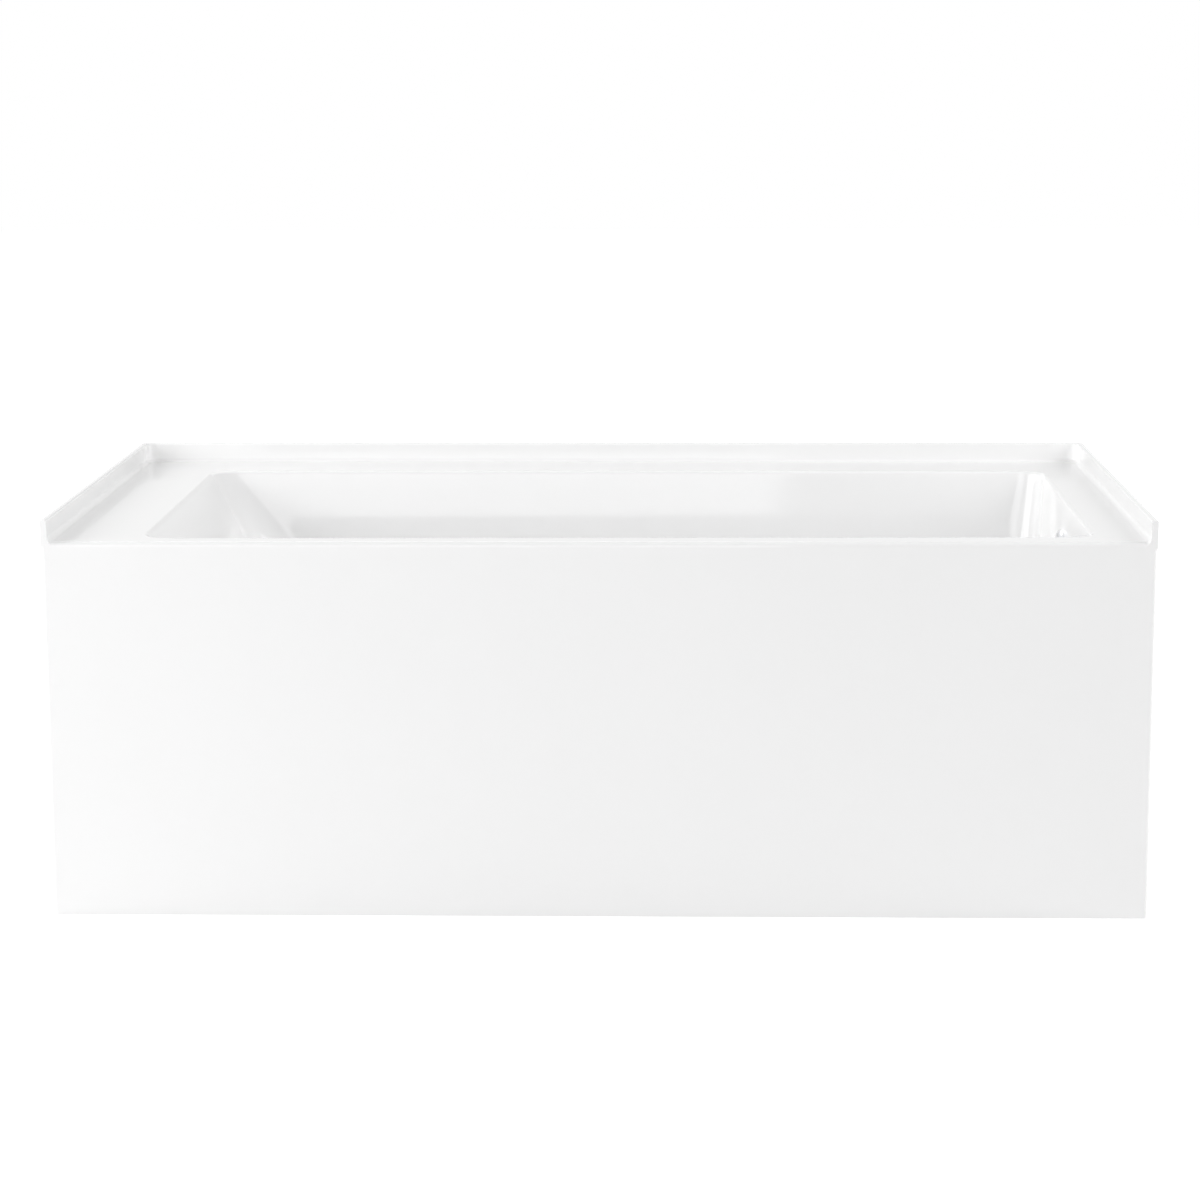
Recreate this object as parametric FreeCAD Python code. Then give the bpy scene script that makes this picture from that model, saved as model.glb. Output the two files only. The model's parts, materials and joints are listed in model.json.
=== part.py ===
import FreeCAD, Part
import math
import os

# Alcove bathtub with a flat front apron, a tile flange on its three wall sides, a steel frame
# with six levelling feet, and a waste-and-overflow set at the right-hand end.
# Millimetres. Origin on the floor, in the middle of the length and depth. +X points to the
# drain end, the apron faces -Y and +Z is up.

V = FreeCAD.Vector
X, Y, Z = V(1, 0, 0), V(0, 1, 0), V(0, 0, 1)
ORIGIN = V(0, 0, 0)

# Overall size, with the tile flange
LENGTH = 1524.0
DEPTH = 813.0
HEIGHT = 559.0

# Deck, tile flange and front lip of the acrylic shell
FLANGE_RISE = 30.0
FLANGE_THICKNESS = 8.5
FLANGE_BASE_ROUND = 7.0
FLANGE_EDGE_ROUND = 2.5
FLANGE_INNER_CORNER = 18.0
FLANGE_OUTER_CORNER = 8.0
SHELL_WALL = 4.0
BACKING_WALL = 4.0
BACKING_MARGIN = 8.0
LIP_HEIGHT = 8.5
LIP_ROUND = 7.0

# Basin: flat deck left round it, height of its floor, lean of its walls and roundings
BACKREST_DECK = 131.0
DRAIN_END_DECK = 75.0
BACK_DECK = 119.5
FRONT_LEDGE_AT_BACKREST = 30.0
FRONT_LEDGE_AT_DRAIN = 44.0
FLOOR_HEIGHT = 112.0
FLOOR_FALL_DEG = 0.5
RIM_ROUND = 5.0
BACKREST_LEAN = 0.62
BACKREST_CURVE = 0.00055
END_WALL_LEAN = 0.06
SIDE_WALL_LEAN = 0.13
FLOOR_ROUND_HEIGHT = 80.0
FLOOR_ROUND_BACKREST = 110.0
FLOOR_ROUND_END = 60.0
FLOOR_ROUND_SIDE = 70.0
CORNER_AT_DECK = 42.0
CORNER_AT_FLOOR_BACKREST = 170.0
CORNER_AT_FLOOR_DRAIN = 95.0

# Base board and rim battens (wood, laminated to the underside)
BOARD_MIN = 12.0
BOARD_MARGIN = 6.0
BOARD_DRAIN_CUTOUT = 52.0
BATTEN_THICKNESS = 20.0
BATTEN_WIDTH = 45.0
BATTEN_END_GAP = 95.0

# Apron
APRON_WALL = 4.0
APRON_SCREW_FROM_END = 137.0
APRON_RETURN = 34.0
APRON_TOP_RETURN = 24.0
APRON_EDGE_ROUND = 5.0
STIFFENER_WIDTH = 60.0
STIFFENER_THICKNESS = 12.0
APRON_BATTEN_HEIGHT = 40.0
ANGLE_LEG = 24.0
ANGLE_WALL = 2.0

# Steel frame
TUBE = 25.0
TUBE_WALL = 1.5
FRONT_RAIL_FROM_FRONT = 116.5
BACK_RAIL_FROM_BACK = 191.5
RAIL_FROM_BACKREST_END = 202.0
RAIL_FROM_DRAIN_END = 122.0
CROSS_FROM_BACKREST_END = 472.0
CROSS_BEFORE_DRAIN = 95.0
CROSS_OVERHANG = 22.0
BOARD_SCREW_SPREAD = 202.0
TIE_WIDTH = 30.0
TIE_LEG = 45.0
TIE_DROP = 30.0
PLUG_DEPTH = 10.0
PLUG_HEAD = 2.0
PLUG_GAP = 0.2

# Levelling feet
FOOT_FROM_RAIL_END = 40.0
FOOT_BESIDE_CROSS = 67.5
PAD_RADIUS = 32.0
PAD_EDGE = 5.0
PAD_HEIGHT = 15.0
PAD_HUB_RADIUS = 13.0
PAD_HUB_TAPER = 4.0
PAD_ROUND = 1.0
STUD_RADIUS = 6.0
STUD_SPARE = 18.5
STUD_COLLAR_FLATS = 17.0
STUD_COLLAR_HEIGHT = 6.0
STUD_CHAMFER = 1.0
HEX_COUNT = 6
NUT_FLATS = 19.0
NUT_HEIGHT = 10.0
LOCK_NUT_HEIGHT = 8.0
THREAD_CLEARANCE = 0.1

# Screws
SCREW_RADIUS = 2.4
SCREW_HEAD_RADIUS = 4.8
SCREW_HEAD_HEIGHT = 3.0
SCREW_HEAD_CHAMFER = 1.4
SCREW_GRIP = 8.0
APRON_SCREW_LENGTH = 24.0
TIE_SCREW_GRIP = 10.0
APRON_SCREW_COUNT = 6
HOLE_CLEARANCE = 0.15

# Waste and overflow
DRAIN_FROM_END = 242.0
DRAIN_HOLE_RADIUS = 26.0
WELL_RADIUS = 42.0
WELL_DEPTH = 4.0
WELL_TAPER = 2.0
DRAIN_RIM_RADIUS = 36.0
DRAIN_RIM_THICKNESS = 2.5
DRAIN_RIM_BEVEL = 1.6
DRAIN_SEAL = 1.0
DRAIN_BODY_RADIUS = 24.0
DRAIN_BORE_RADIUS = 20.0
DRAIN_BODY_LENGTH = 32.0
CROSSBAR_WIDTH = 5.0
CROSSBAR_HEIGHT = 4.0
CROSSBAR_HUB_WALL = 3.0
CROSSBAR_DROP = 22.0
GASKET = 3.0
FITTING_FLANGE_RADIUS = 38.0
PIPE_RADIUS = 19.05
RISER_RADIUS = 17.5
PIPE_WALL = 1.85
PIPE_CLEARANCE = 0.25
FITTING_RADIUS = 23.5
FITTING_THREAD_RADIUS = 25.0
FITTING_SOCKET = 16.0
PIPE_INSERT = 15.0
SHOE_RADIUS = 28.0
WASTE_UNDER_BOARD = 1.0
SHOE_OUTLET = 58.0
STACK_FROM_END = 40.0
TEE_REACH = 46.0
TAIL_REACH = 34.0
SPIGOT_STEP = 0.5
SPIGOT_CLEARANCE = 0.1
SHOULDER_GAP = 1.0
TAIL_LENGTH = 20.0
NUT_RIB_COUNT = 12
NUT_OUTER_RADIUS = 30.0
NUT_LENGTH = 22.0
NUT_LIP = 5.0
WASHER_THICKNESS = 4.0
WASHER_SQUEEZE = 0.1
OVERFLOW_BELOW_DECK = 79.0
OVERFLOW_HOLE_RADIUS = 27.0
OVERFLOW_BORE_RADIUS = 22.0
OVERFLOW_SLEEVE_RADIUS = 28.0
OVERFLOW_FLANGE = 4.0
OVERFLOW_DROP = 50.0
ELBOW_BOSS = 12.0
PLATE_RADIUS = 37.0
GASKET_RADIUS = 36.0
PLATE_DEPTH = 8.0
PLATE_WALL = 2.0
PLATE_SHOULDER = 5.0
PLATE_CROWN = 6.0
PLATE_SLOT_WIDTH = 30.0
PLATE_SCREW_OFFSET = 18.0

# Stopper
STOPPER_TRAVEL = 7.2
CAP_RADIUS = 29.0
CAP_EDGE = 2.5
CAP_BEVEL = 1.0
CAP_DOME = 4.0
SEAL_RADIUS = 19.5
SEAL_THICKNESS = 4.7
SEAL_BEVEL = 1.5
STEM_RADIUS = 4.0
STEM_LENGTH = 40.0
CARTRIDGE_RADIUS = 6.5
CARTRIDGE_TOP_DROP = 7.5
CARTRIDGE_LENGTH = 28.0
CARTRIDGE_COLLAR = 4.0
CARTRIDGE_COLLAR_STEP = 2.0
FACE_GAP = 0.3
WALL_GAP = 0.1
CUT_OVERRUN = 1.0

# Derived places
HALF_LENGTH = LENGTH / 2
HALF_DEPTH = DEPTH / 2
DECK = HEIGHT - FLANGE_RISE
FLOOR = FLOOR_HEIGHT
BASIN_DEPTH = DECK - FLOOR
LEFT_RIM = -HALF_LENGTH + BACKREST_DECK
RIGHT_RIM = HALF_LENGTH - DRAIN_END_DECK
BACK_RIM = HALF_DEPTH - BACK_DECK
FRONT_RIM_LEFT = -HALF_DEPTH + FRONT_LEDGE_AT_BACKREST
FRONT_RIM_RIGHT = -HALF_DEPTH + FRONT_LEDGE_AT_DRAIN
UNDERSIDE = SHELL_WALL + BACKING_WALL
DRAIN_X = HALF_LENGTH - DRAIN_FROM_END
DRAIN_Y = (FRONT_RIM_RIGHT + BACK_RIM) / 2
WELL_Z = FLOOR - WELL_DEPTH
BOSS_BOTTOM = WELL_Z - UNDERSIDE
BOSS_RADIUS = WELL_RADIUS + SHELL_WALL
BOARD_BOTTOM = FLOOR - UNDERSIDE - BOARD_MIN
RAIL_TOP = BOARD_BOTTOM - TUBE
RAIL_BOTTOM = RAIL_TOP - TUBE
FRONT_RAIL_Y = -HALF_DEPTH + FRONT_RAIL_FROM_FRONT
BACK_RAIL_Y = HALF_DEPTH - BACK_RAIL_FROM_BACK
RAIL_START = -HALF_LENGTH + RAIL_FROM_BACKREST_END
RAIL_END = HALF_LENGTH - RAIL_FROM_DRAIN_END
CROSS_LEFT = -HALF_LENGTH + CROSS_FROM_BACKREST_END
CROSS_RIGHT = DRAIN_X - CROSS_BEFORE_DRAIN
CROSS_MIDDLE = (CROSS_LEFT + CROSS_RIGHT) / 2
CROSS_X = {"left": CROSS_LEFT, "middle": CROSS_MIDDLE, "right": CROSS_RIGHT}
FOOT_X = {"left": RAIL_START + FOOT_FROM_RAIL_END, "middle": CROSS_MIDDLE - FOOT_BESIDE_CROSS,
          "right": RAIL_END - FOOT_FROM_RAIL_END}
FRAME_NUT_TOP = RAIL_BOTTOM + TUBE_WALL + NUT_HEIGHT
STUD_LENGTH = FRAME_NUT_TOP + STUD_SPARE - PAD_EDGE
LIP_BOTTOM = DECK - LIP_HEIGHT
APRON_FACE = -HALF_DEPTH
APRON_BACK = APRON_FACE + APRON_WALL
APRON_TOP = LIP_BOTTOM
RETURN_TOP = DECK - UNDERSIDE
STIFFENER_BACK = APRON_BACK + STIFFENER_THICKNESS
STACK_X = HALF_LENGTH - STACK_FROM_END
NUT_CORNER_RADIUS = NUT_OUTER_RADIUS / math.cos(math.pi / NUT_RIB_COUNT)
WASTE_HEIGHT = BOARD_BOTTOM - WASTE_UNDER_BOARD - NUT_CORNER_RADIUS
TAIL_END_HEIGHT = WASTE_HEIGHT - TAIL_REACH - TAIL_LENGTH
TAIL_SHOULDER = WASTE_HEIGHT - TAIL_REACH - SHOULDER_GAP
OVERFLOW_HEIGHT = DECK - OVERFLOW_BELOW_DECK
END_WALL_TILT = math.degrees(math.atan(END_WALL_LEAN))
OVERFLOW_X = RIGHT_RIM - RIM_ROUND - END_WALL_LEAN * (DECK - OVERFLOW_HEIGHT)
GASKET_BOTTOM = BOSS_BOTTOM - GASKET
DRAIN_RIM_TOP = WELL_Z + DRAIN_SEAL + DRAIN_RIM_THICKNESS


# ---------------------------------------------------------------- shape helpers

def block(x0, x1, y0, y1, z0, z1):
    """A box between two corners."""
    return Part.makeBox(x1 - x0, y1 - y0, z1 - z0, V(x0, y0, z0))


def rod(start, direction, length, radius):
    """A solid cylinder."""
    return Part.makeCylinder(radius, length, start, direction)


def pipe(start, direction, length, radius, bore):
    """A hollow cylinder."""
    return rod(start, direction, length, radius).cut(rod(start, direction, length, bore))


def turned(profile, at, axis=Z):
    """A solid of revolution from (radius, height) points, standing at a point along an axis."""
    points = [V(radius, 0, height) for radius, height in profile]
    solid = Part.Face(Part.makePolygon(points + points[:1])).revolve(ORIGIN, Z, 360)
    solid.Placement = FreeCAD.Placement(at, FreeCAD.Rotation(Z, axis))
    return solid


def prism(sides, across_flats, at, height):
    """An upright regular prism with two of its corners on the X axis."""
    corner = across_flats / 2 / math.cos(math.pi / sides)
    turns = [2 * math.pi * i / sides for i in range(sides + 1)]
    points = [at + V(corner * math.cos(a), corner * math.sin(a), 0) for a in turns]
    return Part.Face(Part.makePolygon(points)).extrude(V(0, 0, height))


def square_tube(start, direction, length):
    """A square steel tube; start is on its centre line."""
    outer, inner = TUBE / 2, TUBE / 2 - TUBE_WALL
    if direction == X:
        whole = block(0, length, -outer, outer, -outer, outer)
        hollow = block(0, length, -inner, inner, -inner, inner)
    else:
        whole = block(-outer, outer, 0, length, -outer, outer)
        hollow = block(-inner, inner, 0, length, -inner, inner)
    return whole.cut(hollow).translated(start)


def edges_where(shape, test):
    """Edges whose two ends both pass a test."""
    return [e for e in shape.Edges if all(test(v.Point) for v in e.Vertexes)]


def near(a, b):
    return abs(a - b) < 1e-4


# ---------------------------------------------------------------- basin form

def rounded_outline(corners, radii, height):
    """A closed level wire through a convex polygon with an arc of its own at each corner."""
    count = len(corners)
    arcs = []
    for i in range(count):
        here = corners[i]
        back = (corners[i - 1] - here).normalize()
        ahead = (corners[(i + 1) % count] - here).normalize()
        half = back.getAngle(ahead) / 2
        reach = radii[i] / math.tan(half)
        middle = (back + ahead).normalize()
        crown = here + middle * (radii[i] / math.sin(half) - radii[i])
        arcs.append((here + back * reach, crown, here + ahead * reach))
    edges = []
    for i in range(count):
        start, crown, end = arcs[i]
        edges.append(Part.Arc(start, crown, end).toShape())
        edges.append(Part.LineSegment(end, arcs[(i + 1) % count][0]).toShape())
    wire = Part.Wire(edges)
    wire.translate(V(0, 0, height))
    return wire


def basin_section(height, inset, floor_share, wall):
    """The basin's outline at one height, set in from the deck's edge by the wall's lean and inset.

    floor_share runs from 0 at the rim to 1 where the walls meet the floor, wall is how far this
    surface lies outside the visible one, and inset is [backrest, drain end, front and back]."""
    drop = DECK - height
    left = LEFT_RIM + BACKREST_LEAN * drop - BACKREST_CURVE * drop ** 2 + inset[0]
    right = RIGHT_RIM - END_WALL_LEAN * drop - inset[1]
    back = BACK_RIM - SIDE_WALL_LEAN * drop - inset[2]
    front = SIDE_WALL_LEAN * drop + inset[2]
    slope = (FRONT_RIM_RIGHT - FRONT_RIM_LEFT) / (RIGHT_RIM - LEFT_RIM)
    front_left = FRONT_RIM_LEFT + slope * (left - LEFT_RIM) + front
    front_right = FRONT_RIM_LEFT + slope * (right - LEFT_RIM) + front
    tight = CORNER_AT_DECK - min(inset[2], RIM_ROUND - wall)
    share = min(drop / BASIN_DEPTH, 1.0)
    wide_left = tight + share * (CORNER_AT_FLOOR_BACKREST - CORNER_AT_DECK)
    wide_right = tight + share * (CORNER_AT_FLOOR_DRAIN - CORNER_AT_DECK)
    corners = [V(left, front_left, 0), V(right, front_right, 0), V(right, back, 0), V(left, back, 0)]
    wire = rounded_outline(corners, [wide_left, wide_right, wide_right, wide_left], height)
    wire.rotate(V(DRAIN_X, 0, height), Y, FLOOR_FALL_DEG * floor_share)
    return wire


def basin_form(wall):
    """The basin as a solid plug, grown outwards by a wall: rim round, leaning walls, floor round.

    A wall thicker than the rim's round starts from a plain edge under the deck."""
    rim_start = DECK - max(RIM_ROUND, wall)
    wall_end = FLOOR + FLOOR_ROUND_HEIGHT
    small = RIM_ROUND - wall
    rim, sides, floor = [], [], []
    for angle in (90, 60, 30, 0) if small > 0 else ():
        turn = math.radians(angle)
        inset = small * math.cos(turn)
        rim.append(basin_section(rim_start + small * math.sin(turn), [inset] * 3, 0, wall))
    for step in range(5):
        share = step / 4
        height = rim_start + (wall_end - rim_start) * share
        sides.append(basin_section(height, [small] * 3, share, wall))
    for angle in (0, 22, 45, 68, 90):
        turn = math.radians(angle)
        grow = 1 - math.cos(turn)
        rounds = (FLOOR_ROUND_BACKREST, FLOOR_ROUND_END, FLOOR_ROUND_SIDE)
        inset = [small + (r + wall) * grow for r in rounds]
        height = wall_end - (FLOOR_ROUND_HEIGHT + wall) * math.sin(turn)
        floor.append(basin_section(height, inset, 1, wall))
    parts = [Part.makeLoft(sections, True, False) for sections in (rim, sides, floor) if sections]
    return parts[0].fuse(parts[1:]).removeSplitter()


def overflow_place(shape):
    """Moves a shape built along +X at the origin onto the sloping drain-end wall."""
    placed = shape.copy()
    placed.rotate(ORIGIN, Y, END_WALL_TILT)
    placed.translate(V(OVERFLOW_X, DRAIN_Y, OVERFLOW_HEIGHT))
    return placed


def front_lip():
    """The shell's turned-down front edge, one wall thick, along the whole length."""
    face, inside = -HALF_DEPTH, -HALF_DEPTH + SHELL_WALL
    under = DECK - SHELL_WALL
    small = LIP_ROUND - SHELL_WALL
    reach = face + LIP_ROUND

    def at(y, z):
        return V(-HALF_LENGTH, y, z)

    turn = math.sqrt(0.5)
    centre = (reach, DECK - LIP_ROUND)
    outer = Part.Arc(at(face, centre[1]), at(reach - LIP_ROUND * turn, centre[1] + LIP_ROUND * turn),
                     at(reach, DECK)).toShape()
    inner = Part.Arc(at(reach, under), at(reach - small * turn, centre[1] + small * turn),
                     at(inside, centre[1])).toShape()
    straight = [(at(reach, DECK), at(reach, under)), (at(inside, centre[1]), at(inside, LIP_BOTTOM)),
                (at(inside, LIP_BOTTOM), at(face, LIP_BOTTOM)), (at(face, LIP_BOTTOM), at(face, centre[1]))]
    lines = [Part.LineSegment(a, b).toShape() for a, b in straight]
    wire = Part.Wire([outer, lines[0], inner, lines[1], lines[2], lines[3]])
    return Part.Face(wire).extrude(V(LENGTH, 0, 0))


def deck_with_flange():
    """The flat deck, with the upstand on the two ends and the back, before the basin is cut."""
    under = DECK - SHELL_WALL
    inner_x, inner_y = HALF_LENGTH - FLANGE_THICKNESS, HALF_DEPTH - FLANGE_THICKNESS
    tray = block(-HALF_LENGTH, HALF_LENGTH, -HALF_DEPTH, HALF_DEPTH, under, HEIGHT)
    tray = tray.cut(block(-inner_x, inner_x, -DEPTH, inner_y, DECK, HEIGHT + FLANGE_RISE))

    def at_base(p):
        return near(p.z, DECK) and (near(abs(p.x), inner_x) or near(p.y, inner_y))

    def upright(x, y):
        return [e for e in tray.Edges if near(abs(e.CenterOfMass.x), x) and near(e.CenterOfMass.y, y)]

    tray = tray.makeFillet(FLANGE_INNER_CORNER, upright(inner_x, inner_y))
    tray = tray.makeFillet(FLANGE_OUTER_CORNER, upright(HALF_LENGTH, HALF_DEPTH))
    base = [e for e in edges_where(tray, at_base) if not near(e.CenterOfMass.y, -HALF_DEPTH)]
    tray = tray.makeFillet(FLANGE_BASE_ROUND, base)
    top = edges_where(tray, lambda p: near(p.z, HEIGHT))
    top = [e for e in top if not near(e.CenterOfMass.y, -HALF_DEPTH)]
    tray = tray.makeFillet(FLANGE_EDGE_ROUND, top)
    trim = block(-inner_x, inner_x, -DEPTH, -HALF_DEPTH + LIP_ROUND, 0, HEIGHT + FLANGE_RISE)
    return tray.cut(trim).fuse(front_lip()).removeSplitter()


# ---------------------------------------------------------------- shell

def tub_shell():
    """Acrylic: deck, flange and lip, basin, drain well and overflow hole."""
    drain = V(DRAIN_X, DRAIN_Y, BOSS_BOTTOM)
    shell = deck_with_flange().fuse(basin_form(SHELL_WALL))
    shell = shell.fuse(rod(drain, Z, FLOOR - BOSS_BOTTOM - CUT_OVERRUN, BOSS_RADIUS)).cut(basin_form(0))
    well_bottom = V(DRAIN_X, DRAIN_Y, WELL_Z)
    well = Part.makeCone(WELL_RADIUS, WELL_RADIUS + WELL_TAPER, WELL_DEPTH * 1.5, well_bottom, Z)
    shell = shell.cut([well, rod(drain - Z, Z, FLOOR, DRAIN_HOLE_RADIUS), overflow_hole()])
    return shell


def overflow_hole():
    return overflow_place(rod(V(-UNDERSIDE, 0, 0), X, 3 * UNDERSIDE, OVERFLOW_HOLE_RADIUS))


def shell_backing():
    """Glass-fibre laminate bonded all over the shell's underside."""
    left, front = HALF_LENGTH - BACKING_MARGIN, HALF_DEPTH - BACKING_MARGIN
    under = DECK - UNDERSIDE
    slab = block(-left, left, -front, front, under, DECK - SHELL_WALL)
    backing = slab.fuse(basin_form(UNDERSIDE)).cut(basin_form(SHELL_WALL))
    return backing.cut([rod(V(DRAIN_X, DRAIN_Y, 0), Z, FLOOR, BOSS_RADIUS), overflow_hole()])


def base_board():
    """Board under the basin floor: its top has the floor's fall and its bottom is level."""
    reach = [LEFT_RIM + RIM_ROUND + BACKREST_LEAN * BASIN_DEPTH - BACKREST_CURVE * BASIN_DEPTH ** 2
             + FLOOR_ROUND_BACKREST + BOARD_MARGIN,
             RIGHT_RIM - RIM_ROUND - END_WALL_LEAN * BASIN_DEPTH - FLOOR_ROUND_END - BOARD_MARGIN,
             FRONT_RIM_RIGHT + RIM_ROUND + SIDE_WALL_LEAN * BASIN_DEPTH + FLOOR_ROUND_SIDE + BOARD_MARGIN,
             BACK_RIM - RIM_ROUND - SIDE_WALL_LEAN * BASIN_DEPTH - FLOOR_ROUND_SIDE - BOARD_MARGIN]
    board = block(reach[0], reach[1], reach[2], reach[3], BOARD_BOTTOM, FLOOR)
    upright = [e for e in board.Edges if near(e.Length, FLOOR - BOARD_BOTTOM)]
    board = board.makeFillet(CORNER_AT_FLOOR_DRAIN / 2, upright)
    above = block(-LENGTH, LENGTH, -DEPTH, DEPTH, 0, HEIGHT).translated(V(0, 0, FLOOR - UNDERSIDE))
    above.rotate(V(DRAIN_X, 0, FLOOR - UNDERSIDE), Y, FLOOR_FALL_DEG)
    cutout = rod(V(DRAIN_X, DRAIN_Y, 0), Z, FLOOR, BOARD_DRAIN_CUTOUT)
    depth = BOARD_BOTTOM + SCREW_GRIP
    holes = [rod(V(x, y, 0), Z, depth, SCREW_RADIUS) for x, y in frame_screw_places()]
    return board.cut([above, cutout] + holes)


def rim_batten(place):
    """A wooden batten laminated under the deck beside the basin."""
    top = DECK - UNDERSIDE
    low = top - BATTEN_THICKNESS
    side = HALF_DEPTH - BATTEN_END_GAP
    if place == "back":
        middle = (BACK_RIM + HALF_DEPTH) / 2
        reach = HALF_LENGTH - BATTEN_END_GAP - BATTEN_WIDTH
        return block(-reach, reach, middle - BATTEN_WIDTH / 2, middle + BATTEN_WIDTH / 2, low, top)
    middle = {"left": (LEFT_RIM - HALF_LENGTH) / 2, "right": (RIGHT_RIM + HALF_LENGTH) / 2}[place]
    return block(middle - BATTEN_WIDTH / 2, middle + BATTEN_WIDTH / 2, -side, side, low, top)


# ---------------------------------------------------------------- apron

def apron_screw_places():
    first = -HALF_LENGTH + APRON_SCREW_FROM_END
    pitch = -2 * first / (APRON_SCREW_COUNT - 1)
    y = (APRON_BACK + STIFFENER_BACK) / 2
    return [V(first + pitch * i, y, RETURN_TOP) for i in range(APRON_SCREW_COUNT)]


def apron_screw_holes():
    return [countersunk(SCREW_RADIUS, SCREW_HEAD_RADIUS).translated(p) for p in apron_screw_places()]


def countersunk(radius, head):
    """A countersunk screw's form hanging from its flat top at the origin, or the hole for it."""
    end = -APRON_SCREW_LENGTH
    profile = [(0, 0), (head, 0), (radius, radius - head), (radius, end), (0, end)]
    return turned(profile, ORIGIN)


def apron_panel():
    """The front panel, with its side, bottom and top returns."""
    inside = HALF_LENGTH - APRON_WALL
    panel = block(-HALF_LENGTH, HALF_LENGTH, APRON_FACE, APRON_FACE + APRON_RETURN, 0, APRON_TOP)

    def outer(p):
        return near(abs(p.x), HALF_LENGTH) and near(p.y, APRON_FACE)

    panel = panel.makeFillet(APRON_EDGE_ROUND, edges_where(panel, outer))
    panel = panel.cut(block(-inside, inside, APRON_BACK, 0, APRON_WALL, HEIGHT))
    behind_lip = -HALF_DEPTH + SHELL_WALL + FACE_GAP
    deep = APRON_FACE + APRON_TOP_RETURN
    top = block(-inside, inside, behind_lip, deep, RETURN_TOP - APRON_WALL, RETURN_TOP)
    return panel.fuse(top).removeSplitter().cut(apron_screw_holes())


def apron_batten():
    """The batten along the top of the apron, which the top return is screwed down to."""
    reach = HALF_LENGTH - APRON_WALL - FACE_GAP
    top = RETURN_TOP - APRON_WALL
    batten = block(-reach, reach, APRON_BACK, STIFFENER_BACK, top - APRON_BATTEN_HEIGHT, top)
    return batten.cut(apron_screw_holes())


def apron_screws():
    screw = countersunk(SCREW_RADIUS - HOLE_CLEARANCE, SCREW_HEAD_RADIUS - HOLE_CLEARANCE)
    return Part.makeCompound([screw.translated(p) for p in apron_screw_places()])


def apron_stiffener(x):
    """An upright batten on the back of the apron, from the foot angle to the top batten."""
    low = APRON_WALL + ANGLE_LEG
    top = RETURN_TOP - APRON_WALL - APRON_BATTEN_HEIGHT
    half = STIFFENER_WIDTH / 2
    stiffener = block(x - half, x + half, APRON_BACK, STIFFENER_BACK, low, top)
    return stiffener.cut([rod(p, -Y, TIE_SCREW_GRIP, SCREW_RADIUS) for p in tie_screw_places(x)])


def apron_foot_angle():
    """A steel angle in the apron's bottom return."""
    reach = HALF_LENGTH - APRON_WALL - FACE_GAP
    low = APRON_WALL
    upright = block(-reach, reach, APRON_BACK, APRON_BACK + ANGLE_WALL, low, low + ANGLE_LEG)
    flat = block(-reach, reach, APRON_BACK, APRON_BACK + ANGLE_LEG, low, low + ANGLE_WALL)
    return upright.fuse(flat).removeSplitter()


def tie_screw_places(x):
    """Where a tie's two wood screws enter the stiffener, on its back face below the cross member."""
    return [V(x, STIFFENER_BACK, RAIL_TOP - TIE_DROP * share) for share in (0.27, 0.73)]


def tie_top_screw(x):
    """Where the screw from a tie into its cross member stands, on the cross member's top."""
    return V(x, STIFFENER_BACK + TIE_LEG * 0.6, BOARD_BOTTOM)


def apron_tie(x):
    """A bent bracket from a cross member's front end to the stiffener in front of it."""
    half = TIE_WIDTH / 2
    top = BOARD_BOTTOM + ANGLE_WALL
    low = RAIL_TOP - TIE_DROP
    hole = SCREW_RADIUS + HOLE_CLEARANCE
    upright = block(x - half, x + half, STIFFENER_BACK, STIFFENER_BACK + ANGLE_WALL, low, top)
    flat = block(x - half, x + half, STIFFENER_BACK, STIFFENER_BACK + TIE_LEG, BOARD_BOTTOM, top)
    holes = [rod(p - Y, Y, ANGLE_LEG, hole) for p in tie_screw_places(x)]
    return upright.fuse(flat).removeSplitter().cut(holes + [rod(tie_top_screw(x), Z, ANGLE_LEG, hole)])


# ---------------------------------------------------------------- frame

def frame_rail(y):
    """A long rail under the cross members, bored for three levelling feet."""
    rail = square_tube(V(RAIL_START, y, RAIL_TOP - TUBE / 2), X, RAIL_END - RAIL_START)
    bore = STUD_RADIUS + 2 * THREAD_CLEARANCE
    return rail.cut([rod(V(x, y, 0), Z, HEIGHT, bore) for x in FOOT_X.values()])


def cross_start():
    return STIFFENER_BACK + ANGLE_WALL + FACE_GAP


def cross_end():
    return BACK_RAIL_Y + TUBE / 2 + CROSS_OVERHANG


def cross_member(x):
    """A cross tube between the rails and the base board, with holes for the board screws."""
    tube = square_tube(V(x, cross_start(), BOARD_BOTTOM - TUBE / 2), Y, cross_end() - cross_start())
    hole = SCREW_RADIUS + HOLE_CLEARANCE
    holes = [rod(V(px, py, 0), Z, HEIGHT, hole) for px, py in frame_screw_places() if px == x]
    return tube.cut(holes + [rod(tie_top_screw(x), -Z, TUBE / 2, SCREW_RADIUS)])


def frame_screw_places():
    """Two screws through each cross member into the board."""
    middle = (BACK_RAIL_Y + FRONT_RAIL_Y) / 2
    rows = (middle - BOARD_SCREW_SPREAD / 2, middle + BOARD_SCREW_SPREAD / 2)
    return [(x, y) for x in CROSS_X.values() for y in rows]


def pan_head_screw(at, way, length):
    """A screw whose head seats at a point and whose shank goes the given way."""
    radius = SCREW_RADIUS - HOLE_CLEARANCE
    crown, head = SCREW_HEAD_RADIUS - SCREW_HEAD_CHAMFER, SCREW_HEAD_HEIGHT
    profile = [(0, -head), (crown, -head), (SCREW_HEAD_RADIUS, SCREW_HEAD_CHAMFER - head),
               (SCREW_HEAD_RADIUS, 0), (radius, 0), (radius, length - radius), (0, length)]
    return turned(profile, at, way)


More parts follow.
